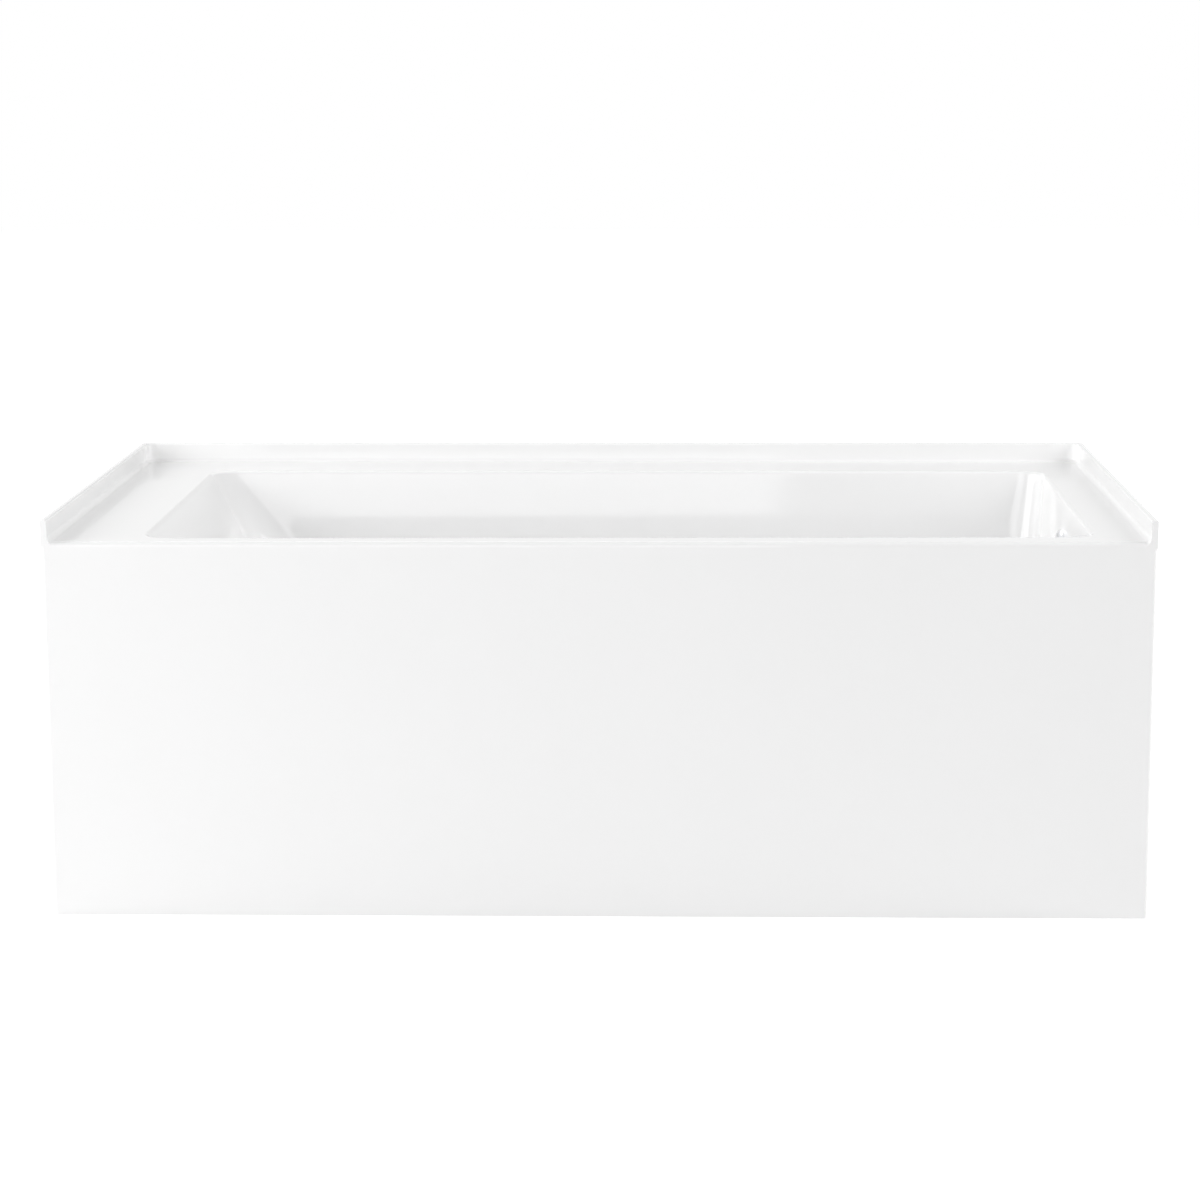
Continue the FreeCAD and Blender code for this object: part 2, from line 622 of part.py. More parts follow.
def board_screws():
    """Screws up through the cross members into the base board."""
    length = TUBE + SCREW_GRIP
    places = [V(x, y, RAIL_TOP) for x, y in frame_screw_places()]
    return Part.makeCompound([pan_head_screw(at, Z, length) for at in places])


def tie_screws():
    """Screws through the ties, two into each stiffener and one into each cross member."""
    length = TIE_SCREW_GRIP + ANGLE_WALL - HOLE_CLEARANCE
    screws = []
    for x in CROSS_X.values():
        screws += [pan_head_screw(p + Y * ANGLE_WALL, -Y, length) for p in tie_screw_places(x)]
        screws.append(pan_head_screw(tie_top_screw(x) + Z * ANGLE_WALL, -Z, ANGLE_WALL + TUBE / 2))
    return Part.makeCompound(screws)


def tube_plugs():
    """Plastic plugs in the rails' ends and in the cross members' back ends."""
    outer = TUBE / 2
    inner = outer - TUBE_WALL - PLUG_GAP

    def plug(at, way):
        """The head stands out of the tube's end at a point and the stem goes into it."""
        head = block(-outer, outer, -outer, outer, 0, PLUG_HEAD)
        whole = head.fuse(block(-inner, inner, -inner, inner, -PLUG_DEPTH, 0)).removeSplitter()
        whole.Placement = FreeCAD.Placement(at, FreeCAD.Rotation(Z, way))
        return whole

    middle = RAIL_TOP - TUBE / 2
    plugs = []
    for y in (FRONT_RAIL_Y, BACK_RAIL_Y):
        plugs += [plug(V(RAIL_START, y, middle), -X), plug(V(RAIL_END, y, middle), X)]
    plugs += [plug(V(x, cross_end(), BOARD_BOTTOM - TUBE / 2), Y) for x in CROSS_X.values()]
    return Part.makeCompound(plugs)


# ---------------------------------------------------------------- levelling feet

def foot_places():
    """Name and plan position of each foot."""
    rails = (("front", FRONT_RAIL_Y), ("back", BACK_RAIL_Y))
    return [(f"{side}_{place}", x, y) for side, y in rails for place, x in FOOT_X.items()]


def foot_pad(x, y):
    """A moulded pad with a tapered hub and a blind socket for the stud."""
    socket = STUD_RADIUS + THREAD_CLEARANCE
    inner = PAD_RADIUS - PAD_ROUND
    profile = [(0, 0), (inner, 0), (PAD_RADIUS, PAD_ROUND), (PAD_RADIUS, PAD_EDGE - PAD_ROUND),
               (inner, PAD_EDGE), (PAD_HUB_RADIUS + PAD_HUB_TAPER, PAD_EDGE + PAD_ROUND),
               (PAD_HUB_RADIUS, PAD_HEIGHT), (socket, PAD_HEIGHT), (socket, PAD_EDGE), (0, PAD_EDGE)]
    return turned(profile, V(x, y, 0))


def foot_stud(x, y):
    """The threaded stud, with a hexagonal collar just above the pad."""
    straight = STUD_LENGTH - STUD_CHAMFER
    stud = rod(V(x, y, PAD_EDGE), Z, straight, STUD_RADIUS)
    tip_at = V(x, y, PAD_EDGE + straight)
    tip = Part.makeCone(STUD_RADIUS, STUD_RADIUS - STUD_CHAMFER, STUD_CHAMFER, tip_at, Z)
    collar = prism(HEX_COUNT, STUD_COLLAR_FLATS, V(x, y, PAD_HEIGHT + FACE_GAP), STUD_COLLAR_HEIGHT)
    return stud.fuse([tip, collar]).removeSplitter()


def nuts(z, height):
    """One hexagonal nut on each stud."""
    bore = STUD_RADIUS + THREAD_CLEARANCE
    made = []
    for _, x, y in foot_places():
        nut = prism(HEX_COUNT, NUT_FLATS, V(x, y, z), height)
        made.append(nut.cut(rod(V(x, y, z), Z, height, bore)))
    return Part.makeCompound(made)


# ---------------------------------------------------------------- waste and overflow

def drain_point(z):
    return V(DRAIN_X, DRAIN_Y, z)


def drain_body():
    """The chrome drain: rim in the well, threaded body, and crossbars that hold the stopper."""
    rim_low = WELL_Z + DRAIN_SEAL
    end = rim_low - DRAIN_BODY_LENGTH
    throat = DRAIN_BORE_RADIUS + DRAIN_RIM_THICKNESS
    profile = [(DRAIN_BORE_RADIUS, end), (DRAIN_BODY_RADIUS, end), (DRAIN_BODY_RADIUS, rim_low),
               (DRAIN_RIM_RADIUS, rim_low), (DRAIN_RIM_RADIUS, DRAIN_RIM_TOP - DRAIN_RIM_BEVEL),
               (DRAIN_RIM_RADIUS - DRAIN_RIM_BEVEL, DRAIN_RIM_TOP), (throat, DRAIN_RIM_TOP),
               (DRAIN_BORE_RADIUS, DRAIN_RIM_TOP - DRAIN_RIM_THICKNESS)]
    body = turned(profile, drain_point(0))
    low = DRAIN_RIM_TOP - CROSSBAR_DROP
    reach = (DRAIN_BORE_RADIUS + DRAIN_BODY_RADIUS) / 2
    half = CROSSBAR_WIDTH / 2
    bars = [block(-reach, reach, -half, half, 0, CROSSBAR_HEIGHT),
            block(-half, half, -reach, reach, 0, CROSSBAR_HEIGHT)]
    hub = rod(ORIGIN, Z, CROSSBAR_HEIGHT, CARTRIDGE_RADIUS + CROSSBAR_HUB_WALL)
    cross = hub.fuse(bars).translated(drain_point(low))
    bore = CARTRIDGE_RADIUS + HOLE_CLEARANCE
    hole = rod(drain_point(low - CUT_OVERRUN), Z, CROSSBAR_HEIGHT + 2 * CUT_OVERRUN, bore)
    return body.fuse(cross).cut(hole).removeSplitter()


def drain_seal():
    """A thin sealing ring between the drain's rim and the well."""
    return pipe(drain_point(WELL_Z), Z, DRAIN_SEAL, DRAIN_RIM_RADIUS - DRAIN_RIM_BEVEL, DRAIN_HOLE_RADIUS)


def drain_gasket():
    """A rubber gasket under the shell."""
    bore = DRAIN_BODY_RADIUS + PIPE_CLEARANCE
    return pipe(drain_point(GASKET_BOTTOM), Z, GASKET, FITTING_FLANGE_RADIUS, bore)


def drain_shoe():
    """The elbow that the drain screws into: collar, round bend and side outlet."""
    bend = drain_point(WASTE_HEIGHT)
    body_end = WELL_Z + DRAIN_SEAL - DRAIN_BODY_LENGTH
    collar = rod(bend, Z, GASKET_BOTTOM - WASTE_HEIGHT, SHOE_RADIUS)
    flange = rod(drain_point(GASKET_BOTTOM - OVERFLOW_FLANGE), Z, OVERFLOW_FLANGE, FITTING_FLANGE_RADIUS)
    ball = Part.makeSphere(SHOE_RADIUS, bend)
    outlet = rod(bend, X, SHOE_OUTLET, FITTING_RADIUS)
    thread = rod(bend + X * (SHOE_OUTLET - FITTING_SOCKET), X, FITTING_SOCKET, FITTING_THREAD_RADIUS)
    bore = PIPE_RADIUS - PIPE_WALL
    seat = body_end - FACE_GAP
    hollow = [rod(drain_point(seat), Z, HEIGHT, DRAIN_BODY_RADIUS + PIPE_CLEARANCE),
              rod(bend, Z, seat - WASTE_HEIGHT, DRAIN_BORE_RADIUS), Part.makeSphere(DRAIN_BORE_RADIUS, bend),
              rod(bend, X, SHOE_OUTLET, bore),
              rod(bend + X * (SHOE_OUTLET - FITTING_SOCKET), X, FITTING_SOCKET, PIPE_RADIUS + PIPE_CLEARANCE)]
    return collar.fuse([flange, ball, outlet, thread]).cut(hollow).removeSplitter()


def slip_ends():
    """Each slip joint: where its fitting ends, the way its pipe leaves and the pipe's radius."""
    return {"shoe": (drain_point(WASTE_HEIGHT) + X * SHOE_OUTLET, X, PIPE_RADIUS),
            "tee_side": (V(STACK_X - TEE_REACH, DRAIN_Y, WASTE_HEIGHT), -X, PIPE_RADIUS),
            "tee_top": (V(STACK_X, DRAIN_Y, WASTE_HEIGHT + TEE_REACH), Z, RISER_RADIUS),
            "overflow": (V(STACK_X, DRAIN_Y, OVERFLOW_HEIGHT - OVERFLOW_DROP), -Z, RISER_RADIUS)}


def slip_washers():
    """A washer squeezed between each fitting's mouth and its nut."""
    outer = FITTING_THREAD_RADIUS - WASHER_SQUEEZE
    return Part.makeCompound([pipe(mouth, way, WASHER_THICKNESS, outer, radius + WASHER_SQUEEZE)
                              for mouth, way, radius in slip_ends().values()])


def slip_nuts():
    """A ribbed nut over each fitting's threaded mouth, with a lip that holds its washer."""
    back = NUT_LENGTH - NUT_LIP - WASHER_THICKNESS
    made = []
    for mouth, way, radius in slip_ends().values():
        nut = prism(NUT_RIB_COUNT, 2 * NUT_OUTER_RADIUS, ORIGIN, NUT_LENGTH)
        thread = rod(ORIGIN, Z, NUT_LENGTH - NUT_LIP, FITTING_THREAD_RADIUS + HOLE_CLEARANCE)
        nut = nut.cut([thread, rod(ORIGIN, Z, NUT_LENGTH, radius + PIPE_CLEARANCE)])
        nut.Placement = FreeCAD.Placement(mouth - way * back, FreeCAD.Rotation(Z, way))
        made.append(nut)
    return Part.makeCompound(made)


def waste_pipe():
    """The level pipe from the shoe to the tee."""
    start = slip_ends()["shoe"][0] - X * PIPE_INSERT
    end = slip_ends()["tee_side"][0] + X * PIPE_INSERT
    return pipe(start, X, (end - start).Length, PIPE_RADIUS, PIPE_RADIUS - PIPE_WALL)


def waste_tee():
    """The tee under the deck: side inlet from the drain, top inlet from the overflow, tail below."""
    centre = V(STACK_X, DRAIN_Y, WASTE_HEIGHT)
    bore = PIPE_RADIUS - PIPE_WALL
    low, upright = centre - Z * TAIL_REACH, TAIL_REACH + TEE_REACH
    solid = [rod(low, Z, upright, FITTING_RADIUS), rod(centre, -X, TEE_REACH, FITTING_RADIUS)]
    hollow = [rod(low, Z, TAIL_REACH, bore), rod(centre, -X, TEE_REACH, bore),
              rod(centre, Z, TEE_REACH, RISER_RADIUS - PIPE_WALL),
              rod(low, Z, FITTING_SOCKET, PIPE_RADIUS - SPIGOT_STEP)]
    for name in ("tee_side", "tee_top"):
        mouth, way, radius = slip_ends()[name]
        solid.append(rod(mouth, -way, FITTING_SOCKET, FITTING_THREAD_RADIUS))
        hollow.append(rod(mouth, -way, FITTING_SOCKET, radius + PIPE_CLEARANCE))
    return solid[0].fuse(solid[1:]).cut(hollow).removeSplitter()


def tail_pipe():
    """The outlet below the tee, where the building's trap is joined, its spigot seated in the tee."""
    seat = WASTE_HEIGHT - TAIL_REACH + FITTING_SOCKET
    bore, spigot = PIPE_RADIUS - PIPE_WALL, PIPE_RADIUS - SPIGOT_STEP - SPIGOT_CLEARANCE
    profile = [(bore, TAIL_END_HEIGHT), (PIPE_RADIUS, TAIL_END_HEIGHT), (PIPE_RADIUS, TAIL_SHOULDER),
               (spigot, TAIL_SHOULDER), (spigot, seat), (bore, seat)]
    return turned(profile, V(STACK_X, DRAIN_Y, 0))


def overflow_tube():
    """The upright pipe from the tee to the overflow elbow, a little thinner than the waste."""
    low = slip_ends()["tee_top"][0] - Z * PIPE_INSERT
    high = slip_ends()["overflow"][0] + Z * PIPE_INSERT
    return pipe(low, Z, (high - low).Length, RISER_RADIUS, RISER_RADIUS - PIPE_WALL)


def overflow_elbow():
    """The elbow behind the drain-end wall, cut to the wall's slope, with two screw bosses."""
    corner = V(STACK_X, DRAIN_Y, OVERFLOW_HEIGHT)
    mouth, _, riser = slip_ends()["overflow"]
    face, reach = UNDERSIDE + GASKET, STACK_X - OVERFLOW_X
    solid = [rod(mouth, Z, OVERFLOW_DROP, FITTING_RADIUS),
             rod(mouth, Z, FITTING_SOCKET, FITTING_THREAD_RADIUS),
             Part.makeSphere(OVERFLOW_SLEEVE_RADIUS, corner),
             rod(corner, -X, reach, OVERFLOW_SLEEVE_RADIUS),
             overflow_place(rod(V(face, 0, 0), X, OVERFLOW_FLANGE, PLATE_RADIUS))]
    side = PLATE_RADIUS
    beyond = overflow_place(block(-side, face, -side, side, -side, side))
    hollow = [rod(mouth, Z, OVERFLOW_DROP, riser - PIPE_WALL),
              rod(mouth, Z, FITTING_SOCKET, riser + PIPE_CLEARANCE),
              Part.makeSphere(OVERFLOW_BORE_RADIUS, corner),
              rod(corner, -X, reach, OVERFLOW_BORE_RADIUS), beyond]
    bosses = plate_screw_rods(face, ELBOW_BOSS, SCREW_RADIUS * 2)
    holes = plate_screw_rods(face, ELBOW_BOSS + OVERFLOW_FLANGE, SCREW_RADIUS)
    return solid[0].fuse(solid[1:]).cut(hollow).fuse(bosses).cut(holes).removeSplitter()


def plate_screw_rods(start, length, radius):
    """A rod along each of the overflow plate's two screws, from a distance behind the wall's face."""
    sides = (-PLATE_SCREW_OFFSET, PLATE_SCREW_OFFSET)
    return [overflow_place(rod(V(start, y, 0), X, length, radius)) for y in sides]


def overflow_gasket():
    """A foam ring between the laminate and the elbow."""
    start = V(UNDERSIDE + WALL_GAP, 0, 0)
    return overflow_place(pipe(start, X, GASKET - WALL_GAP, GASKET_RADIUS, OVERFLOW_HOLE_RADIUS))


def overflow_plate():
    """The domed chrome cover inside the basin, open along its lower edge."""
    edge, wall, front = PLATE_RADIUS, PLATE_WALL, -PLATE_DEPTH
    inner = edge - wall
    crown, shoulder = edge - PLATE_CROWN, front + PLATE_SHOULDER
    profile = [(0, front), (crown, front), (edge - wall, front + wall), (edge, shoulder), (edge, 0),
               (inner, 0), (inner, shoulder), (crown, front + wall), (0, front + wall)]
    plate = turned(profile, ORIGIN, X)
    half = PLATE_SLOT_WIDTH / 2
    plate = plate.cut(block(front + wall, WALL_GAP, -half, half, -2 * edge, -edge / 2))
    bosses = plate_screw_rods(front + wall, PLATE_DEPTH - wall, SCREW_RADIUS * 2)
    holes = plate_screw_rods(2 * front, -3 * front, SCREW_RADIUS)
    return overflow_place(plate).fuse(bosses).cut(holes).removeSplitter()


def overflow_screws():
    """Two screws from the plate into the elbow's bosses."""
    radius = SCREW_RADIUS - HOLE_CLEARANCE
    head = SCREW_HEAD_HEIGHT / 2
    end = UNDERSIDE + GASKET + ELBOW_BOSS - OVERFLOW_FLANGE + PLATE_DEPTH
    profile = [(0, -head), (SCREW_HEAD_RADIUS - head, -head), (SCREW_HEAD_RADIUS, 0), (radius, 0),
               (radius, end), (0, end)]
    sides = (-PLATE_SCREW_OFFSET, PLATE_SCREW_OFFSET)
    screws = [turned(profile, V(-PLATE_DEPTH, y, 0), X) for y in sides]
    return Part.makeCompound([overflow_place(screw) for screw in screws])


# ---------------------------------------------------------------- stopper, shown raised

def cap_bottom():
    return DRAIN_RIM_TOP + FACE_GAP + STOPPER_TRAVEL


def stopper_cap():
    """The domed cap that a foot presses down."""
    low = cap_bottom()
    shoulder = low + CAP_EDGE
    top = V(0, 0, shoulder + CAP_DOME)
    dome = (CAP_RADIUS ** 2 + CAP_DOME ** 2) / (2 * CAP_DOME)
    half = math.asin(CAP_RADIUS / dome) / 2
    across = top + V(dome * math.sin(half), 0, dome * math.cos(half) - dome)
    corners = [V(0, 0, low), V(CAP_RADIUS - CAP_BEVEL, 0, low), V(CAP_RADIUS, 0, low + CAP_BEVEL),
               V(CAP_RADIUS, 0, shoulder)]
    edges = [Part.LineSegment(a, b).toShape() for a, b in zip(corners, corners[1:])]
    edges += [Part.Arc(corners[-1], across, top).toShape(), Part.LineSegment(top, corners[0]).toShape()]
    return Part.Face(Part.Wire(edges)).revolve(ORIGIN, Z, 360).translated(drain_point(0))


def stopper_seal():
    """The rubber plug ring under the cap, which closes the drain's throat."""
    low = cap_bottom() - SEAL_THICKNESS
    inner = STEM_RADIUS + HOLE_CLEARANCE
    profile = [(inner, low), (SEAL_RADIUS - SEAL_BEVEL, low), (SEAL_RADIUS, low + SEAL_BEVEL),
               (SEAL_RADIUS, low + SEAL_THICKNESS), (inner, low + SEAL_THICKNESS)]
    return turned(profile, drain_point(0))


def stopper_stem():
    """The stem that carries the cap and slides in the cartridge."""
    return rod(drain_point(cap_bottom() - STEM_LENGTH), Z, STEM_LENGTH, STEM_RADIUS)


def stopper_cartridge():
    """The push cartridge screwed into the crossbars, with a collar that stands on them."""
    top = DRAIN_RIM_TOP - CARTRIDGE_TOP_DROP
    seat = DRAIN_RIM_TOP - CROSSBAR_DROP + CROSSBAR_HEIGHT
    low = top - CARTRIDGE_LENGTH
    bore = STEM_RADIUS + THREAD_CLEARANCE
    collar, above = CARTRIDGE_RADIUS + CARTRIDGE_COLLAR_STEP, seat + CARTRIDGE_COLLAR
    profile = [(bore, low), (CARTRIDGE_RADIUS, low), (CARTRIDGE_RADIUS, seat), (collar, seat),
               (collar, above), (CARTRIDGE_RADIUS, above), (CARTRIDGE_RADIUS, top), (bore, top)]
    return turned(profile, drain_point(0))


# ---------------------------------------------------------------- all pieces

def build():
    """Every piece by its name."""
    pieces = {"tub_shell": tub_shell(), "shell_backing": shell_backing(),
              "base_board": base_board()}
    for place in ("left", "right", "back"):
        pieces[f"{place}_rim_batten"] = rim_batten(place)
    pieces.update({"apron_panel": apron_panel(), "apron_top_batten": apron_batten(),
                   "apron_screws": apron_screws(), "apron_foot_angle": apron_foot_angle()})
    for place, x in CROSS_X.items():
        pieces[f"apron_stiffener_{place}"] = apron_stiffener(x)
        pieces[f"apron_tie_{place}"] = apron_tie(x)
        pieces[f"cross_member_{place}"] = cross_member(x)
    pieces.update({"tie_screws": tie_screws(), "board_screws": board_screws(), "tube_plugs": tube_plugs(),
                   "front_rail": frame_rail(FRONT_RAIL_Y), "back_rail": frame_rail(BACK_RAIL_Y)})
    for name, x, y in foot_places():
        pieces[f"foot_pad_{name}"] = foot_pad(x, y)
        pieces[f"foot_stud_{name}"] = foot_stud(x, y)
    pieces["frame_nuts"] = nuts(RAIL_BOTTOM + TUBE_WALL, NUT_HEIGHT)
    pieces["lock_nuts"] = nuts(RAIL_BOTTOM - LOCK_NUT_HEIGHT, LOCK_NUT_HEIGHT)
    for piece in (drain_body, drain_seal, drain_gasket, drain_shoe, slip_washers, slip_nuts, waste_pipe,
                  waste_tee, tail_pipe, overflow_tube, overflow_elbow, overflow_gasket, overflow_plate,
                  overflow_screws, stopper_cap, stopper_seal, stopper_stem, stopper_cartridge):
        pieces[piece.__name__] = piece()
    return pieces


os.makedirs("parts", exist_ok=True)
for name, shape in build().items():
    shape.exportStep(f"parts/{name}.step")
    print(f"{name}: {len(shape.Solids)} solid(s), valid {shape.isValid()}, {shape.Volume / 1000:.1f} cm3")
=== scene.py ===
import json
import math

import bmesh
import bpy
from mathutils import Matrix, Vector


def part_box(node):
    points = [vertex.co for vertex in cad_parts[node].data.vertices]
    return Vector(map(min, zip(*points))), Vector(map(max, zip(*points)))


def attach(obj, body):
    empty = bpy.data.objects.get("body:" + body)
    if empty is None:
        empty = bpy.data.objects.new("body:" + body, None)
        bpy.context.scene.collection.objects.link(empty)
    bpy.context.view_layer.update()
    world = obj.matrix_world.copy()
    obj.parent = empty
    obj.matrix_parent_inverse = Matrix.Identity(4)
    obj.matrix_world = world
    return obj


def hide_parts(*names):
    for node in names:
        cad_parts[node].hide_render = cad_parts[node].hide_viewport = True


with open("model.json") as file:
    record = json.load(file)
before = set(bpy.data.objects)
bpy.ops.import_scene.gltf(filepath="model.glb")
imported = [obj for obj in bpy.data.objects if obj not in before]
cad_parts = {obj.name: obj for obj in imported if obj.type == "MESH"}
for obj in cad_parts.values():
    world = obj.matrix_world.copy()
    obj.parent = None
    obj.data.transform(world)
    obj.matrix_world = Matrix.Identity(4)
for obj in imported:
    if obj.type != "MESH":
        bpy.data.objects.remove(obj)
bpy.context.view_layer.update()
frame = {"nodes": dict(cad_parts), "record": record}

bl_info = {
    "name": "Alcove Bathtub",
    "version": (1, 0, 0),
    "blender": (4, 5, 0),
    "location": "View3D > Sidebar > Bathtub",
    "description": "Dresses the packed alcove bathtub: shell, laminate, threads, fittings and finishes",
    "category": "Object",
}

SHELL_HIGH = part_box("tub_shell")[1]
MILLIMETRE = 0.001
WELD = 2e-6
COLLAPSED = 1e-7
BROKEN_STEEL, BROKEN_TUBE, BROKEN_WOOD, BROKEN_BOARD, BROKEN_CHROME = 0.0003, 0.0012, 0.0010, 0.0008, 0.0002
SHELL_ANGLE, LAMINATE_ANGLE, MADE_ANGLE, PAD_ANGLE, THREAD_ANGLE = 32.0, 40.0, 35.0, 25.0, 50.0
SCREW_HEAD_RADIUS, SCREW_HEAD_HEIGHT, SCREW_SHANK_RADIUS = 0.0048, 0.003, 0.00225
NUT_BORE_RADIUS = 0.0061
STUD_RADIUS, COLLAR_HEIGHT, COLLAR_GAP = 0.006, 0.006, 0.0003
SLIP_BORE_RADIUS, SLIP_LIP_RADIUS, SLIP_LIP = 0.02515, 0.0193, 0.005
UP, DOWN, LEFT, RIGHT, BACK = (0, 0, 1), (0, 0, -1), (-1, 0, 0), (1, 0, 0), (0, 1, 0)


# ---------------------------------------------------------------- settings

def length(description, millimetres):
    """A length that a user may change."""
    return bpy.props.FloatProperty(description=description, default=millimetres * MILLIMETRE,
                                   unit="LENGTH", precision=4)


def share(description, value):
    """A plain ratio that a user may change."""
    return bpy.props.FloatProperty(description=description, default=value, precision=4)


def count(description, value):
    """A number of steps or copies."""
    return bpy.props.IntProperty(description=description, default=value, min=1)


def power(description, watts):
    """A lamp's power that a user may change."""
    return bpy.props.FloatProperty(description=description, default=watts, unit="POWER")


def slot_colour(slot):
    """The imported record's colour for one of its material slots."""
    for material in frame["record"]["materials"]:
        if material["slot"] == slot:
            return tuple(material["base_color"])
    raise ValueError(f"the record has no material slot {slot}")


def colour(slot):
    """A colour that a user may change, which starts as the record's."""
    return bpy.props.FloatVectorProperty(description=f"Base colour of the {slot.replace('_', ' ')}",
                                         default=slot_colour(slot), subtype="COLOR", min=0.0, max=1.0)


class BathtubBasin(bpy.types.PropertyGroup):
    backrest_deck: length("Deck left of the basin, from the outer face to the rim", 131.0)
    drain_end_deck: length("Deck right of the basin, from the outer face to the rim", 75.0)
    back_deck: length("Deck behind the basin, from the outer face to the rim", 119.5)
    front_ledge_backrest: length("Width of the front ledge at the backrest", 30.0)
    front_ledge_drain: length("Width of the front ledge at the drain end", 44.0)
    floor_height: length("Height of the basin's floor at the drain", 112.0)
    floor_fall: bpy.props.FloatProperty(description="Slope of the floor to the drain",
                                        default=math.radians(0.5), subtype="ANGLE")
    rim_round: length("Radius between deck and basin", 5.0)
    backrest_lean: share("Run of the backrest for each unit of drop", 0.62)
    backrest_curve: share("How fast the backrest steepens, per metre", 0.55)
    end_wall_lean: share("Run of the drain-end wall for each unit of drop", 0.06)
    side_wall_lean: share("Run of the long walls for each unit of drop", 0.13)
    floor_round_height: length("Height of the round between walls and floor", 80.0)
    floor_round_backrest: length("Reach of the round at the backrest", 110.0)
    floor_round_end: length("Reach of the round at the drain end", 60.0)
    floor_round_side: length("Reach of the round at the long walls", 70.0)
    corner_deck: length("Radius of the basin's corners at the deck", 42.0)
    corner_floor_backrest: length("Radius of the left corners at the floor", 170.0)
    corner_floor_drain: length("Radius of the right corners at the floor", 95.0)
    well_radius: length("Radius of the dished drain well", 42.0)
    well_depth: length("Depth of the drain well", 4.0)
    well_taper: length("How much wider the well is at its top", 2.0)
    boss_radius: length("Radius of the boss under the well", 46.0)
    boss_bottom: length("Height of the boss's lower face", 100.0)
    drain_from_end: length("Drain centre from the right-hand face", 242.0)
    drain_hole: length("Radius of the drain hole", 26.0)
    overflow_drop: length("Overflow centre below the deck", 79.0)
    overflow_hole: length("Radius of the overflow hole", 27.0)


class BathtubEdges(bpy.types.PropertyGroup):
    wall: length("Thickness of the acrylic", 4.0)
    laminate: length("Thickness of the glass-fibre laminate", 4.0)
    laminate_margin: length("Bare acrylic left round the laminate", 8.0)
    flange_rise: length("Height of the tile flange above the deck", 30.0)
    flange_thickness: length("Thickness of the tile flange", 8.5)
    flange_base: length("Radius between deck and flange", 7.0)
    flange_edge: length("Radius on the flange's upper edges", 2.5)
    flange_inner_corner: length("Plan radius of the back corners inside", 18.0)
    flange_outer_corner: length("Plan radius of the back corners outside", 8.0)
    lip_height: length("Height of the turned-down front edge", 8.5)
    lip_round: length("Radius of the front edge", 7.0)
    apron_round: length("Radius of the apron's two upright edges", 5.0)


class BathtubHardware(bpy.types.PropertyGroup):
    thread_pitch: length("Rise of one turn of the levelling studs", 1.75)
    thread_depth: length("Depth of the thread", 0.9)
    thread_steps: count("Points round the stud", 28)
    nut_ribs: count("Grip ribs round a slip nut", 24)
    rib_depth: length("How far the ribs stand out of a slip nut", 1.6)
    recess_width: length("Width of the cross recess's slots", 1.1)
    recess_depth: length("Depth of the cross recess", 1.4)


class BathtubColours(bpy.types.PropertyGroup):
    acrylic: colour("white_acrylic")
    laminate: colour("glass_fibre_laminate")
    board: colour("resin_coated_board")
    softwood: colour("softwood")
    steel: colour("galvanised_steel")
    zinc: colour("zinc_nut")
    chrome: colour("polished_chrome")
    brass: colour("brass")
    plastic: colour("black_plastic")
    fitting: colour("black_fitting")
    pipe: colour("white_pipe")
    washer: colour("clear_washer")
    rubber: colour("black_rubber")
    foam: colour("white_foam")


class BathtubStage(bpy.types.PropertyGroup):
    floor_size: length("Side of the floor", 30000.0)
    floor_colour: bpy.props.FloatVectorProperty(description="Colour of the floor",
                                                default=(0.86, 0.86, 0.86), subtype="COLOR")
    floor_lift: share("White added to the floor for the camera", 0.70)
    world_light: share("Strength of the even light from all round", 0.33)
    front_power: power("Power of the wide low lamp in front", 52.0)
    left_power: power("Power of the high lamp beyond the left end", 78.0)
    low_power: power("Power of the low lamp at the front left", 62.0)
    right_power: power("Power of the lamp beyond the right end", 80.0)
    back_power: power("Power of the lamp behind", 12.0)


# ---------------------------------------------------------------- node helpers and materials

def fill(tree, node, values):
    """Sets a node's inputs by name or number, or links them where a value is another node's output."""
    for key, value in values.items():
        if isinstance(value, bpy.types.NodeSocket):
            tree.links.new(value, node.inputs[key])
        else:
            node.inputs[key].default_value = value
    return node


def add_node(tree, kind, values, **settings):
    """A new node with its settings and inputs."""
    node = tree.nodes.new(kind)
    for key, value in settings.items():
        setattr(node, key, value)
    return fill(tree, node, values)


def noise(scale, detail=3.0, rough=0.5, distortion=0.0):
    """A cloudy pattern, as a kind of node, its output, its inputs and its settings."""
    return "ShaderNodeTexNoise", "Fac", {"Scale": scale, "Detail": detail, "Roughness": rough,
                                         "Distortion": distortion}, {}


def cells(scale, output="Distance", feature="F1"):
    """A pattern of cells, in the same terms."""
    return "ShaderNodeTexVoronoi", output, {"Scale": scale}, {"feature": feature}


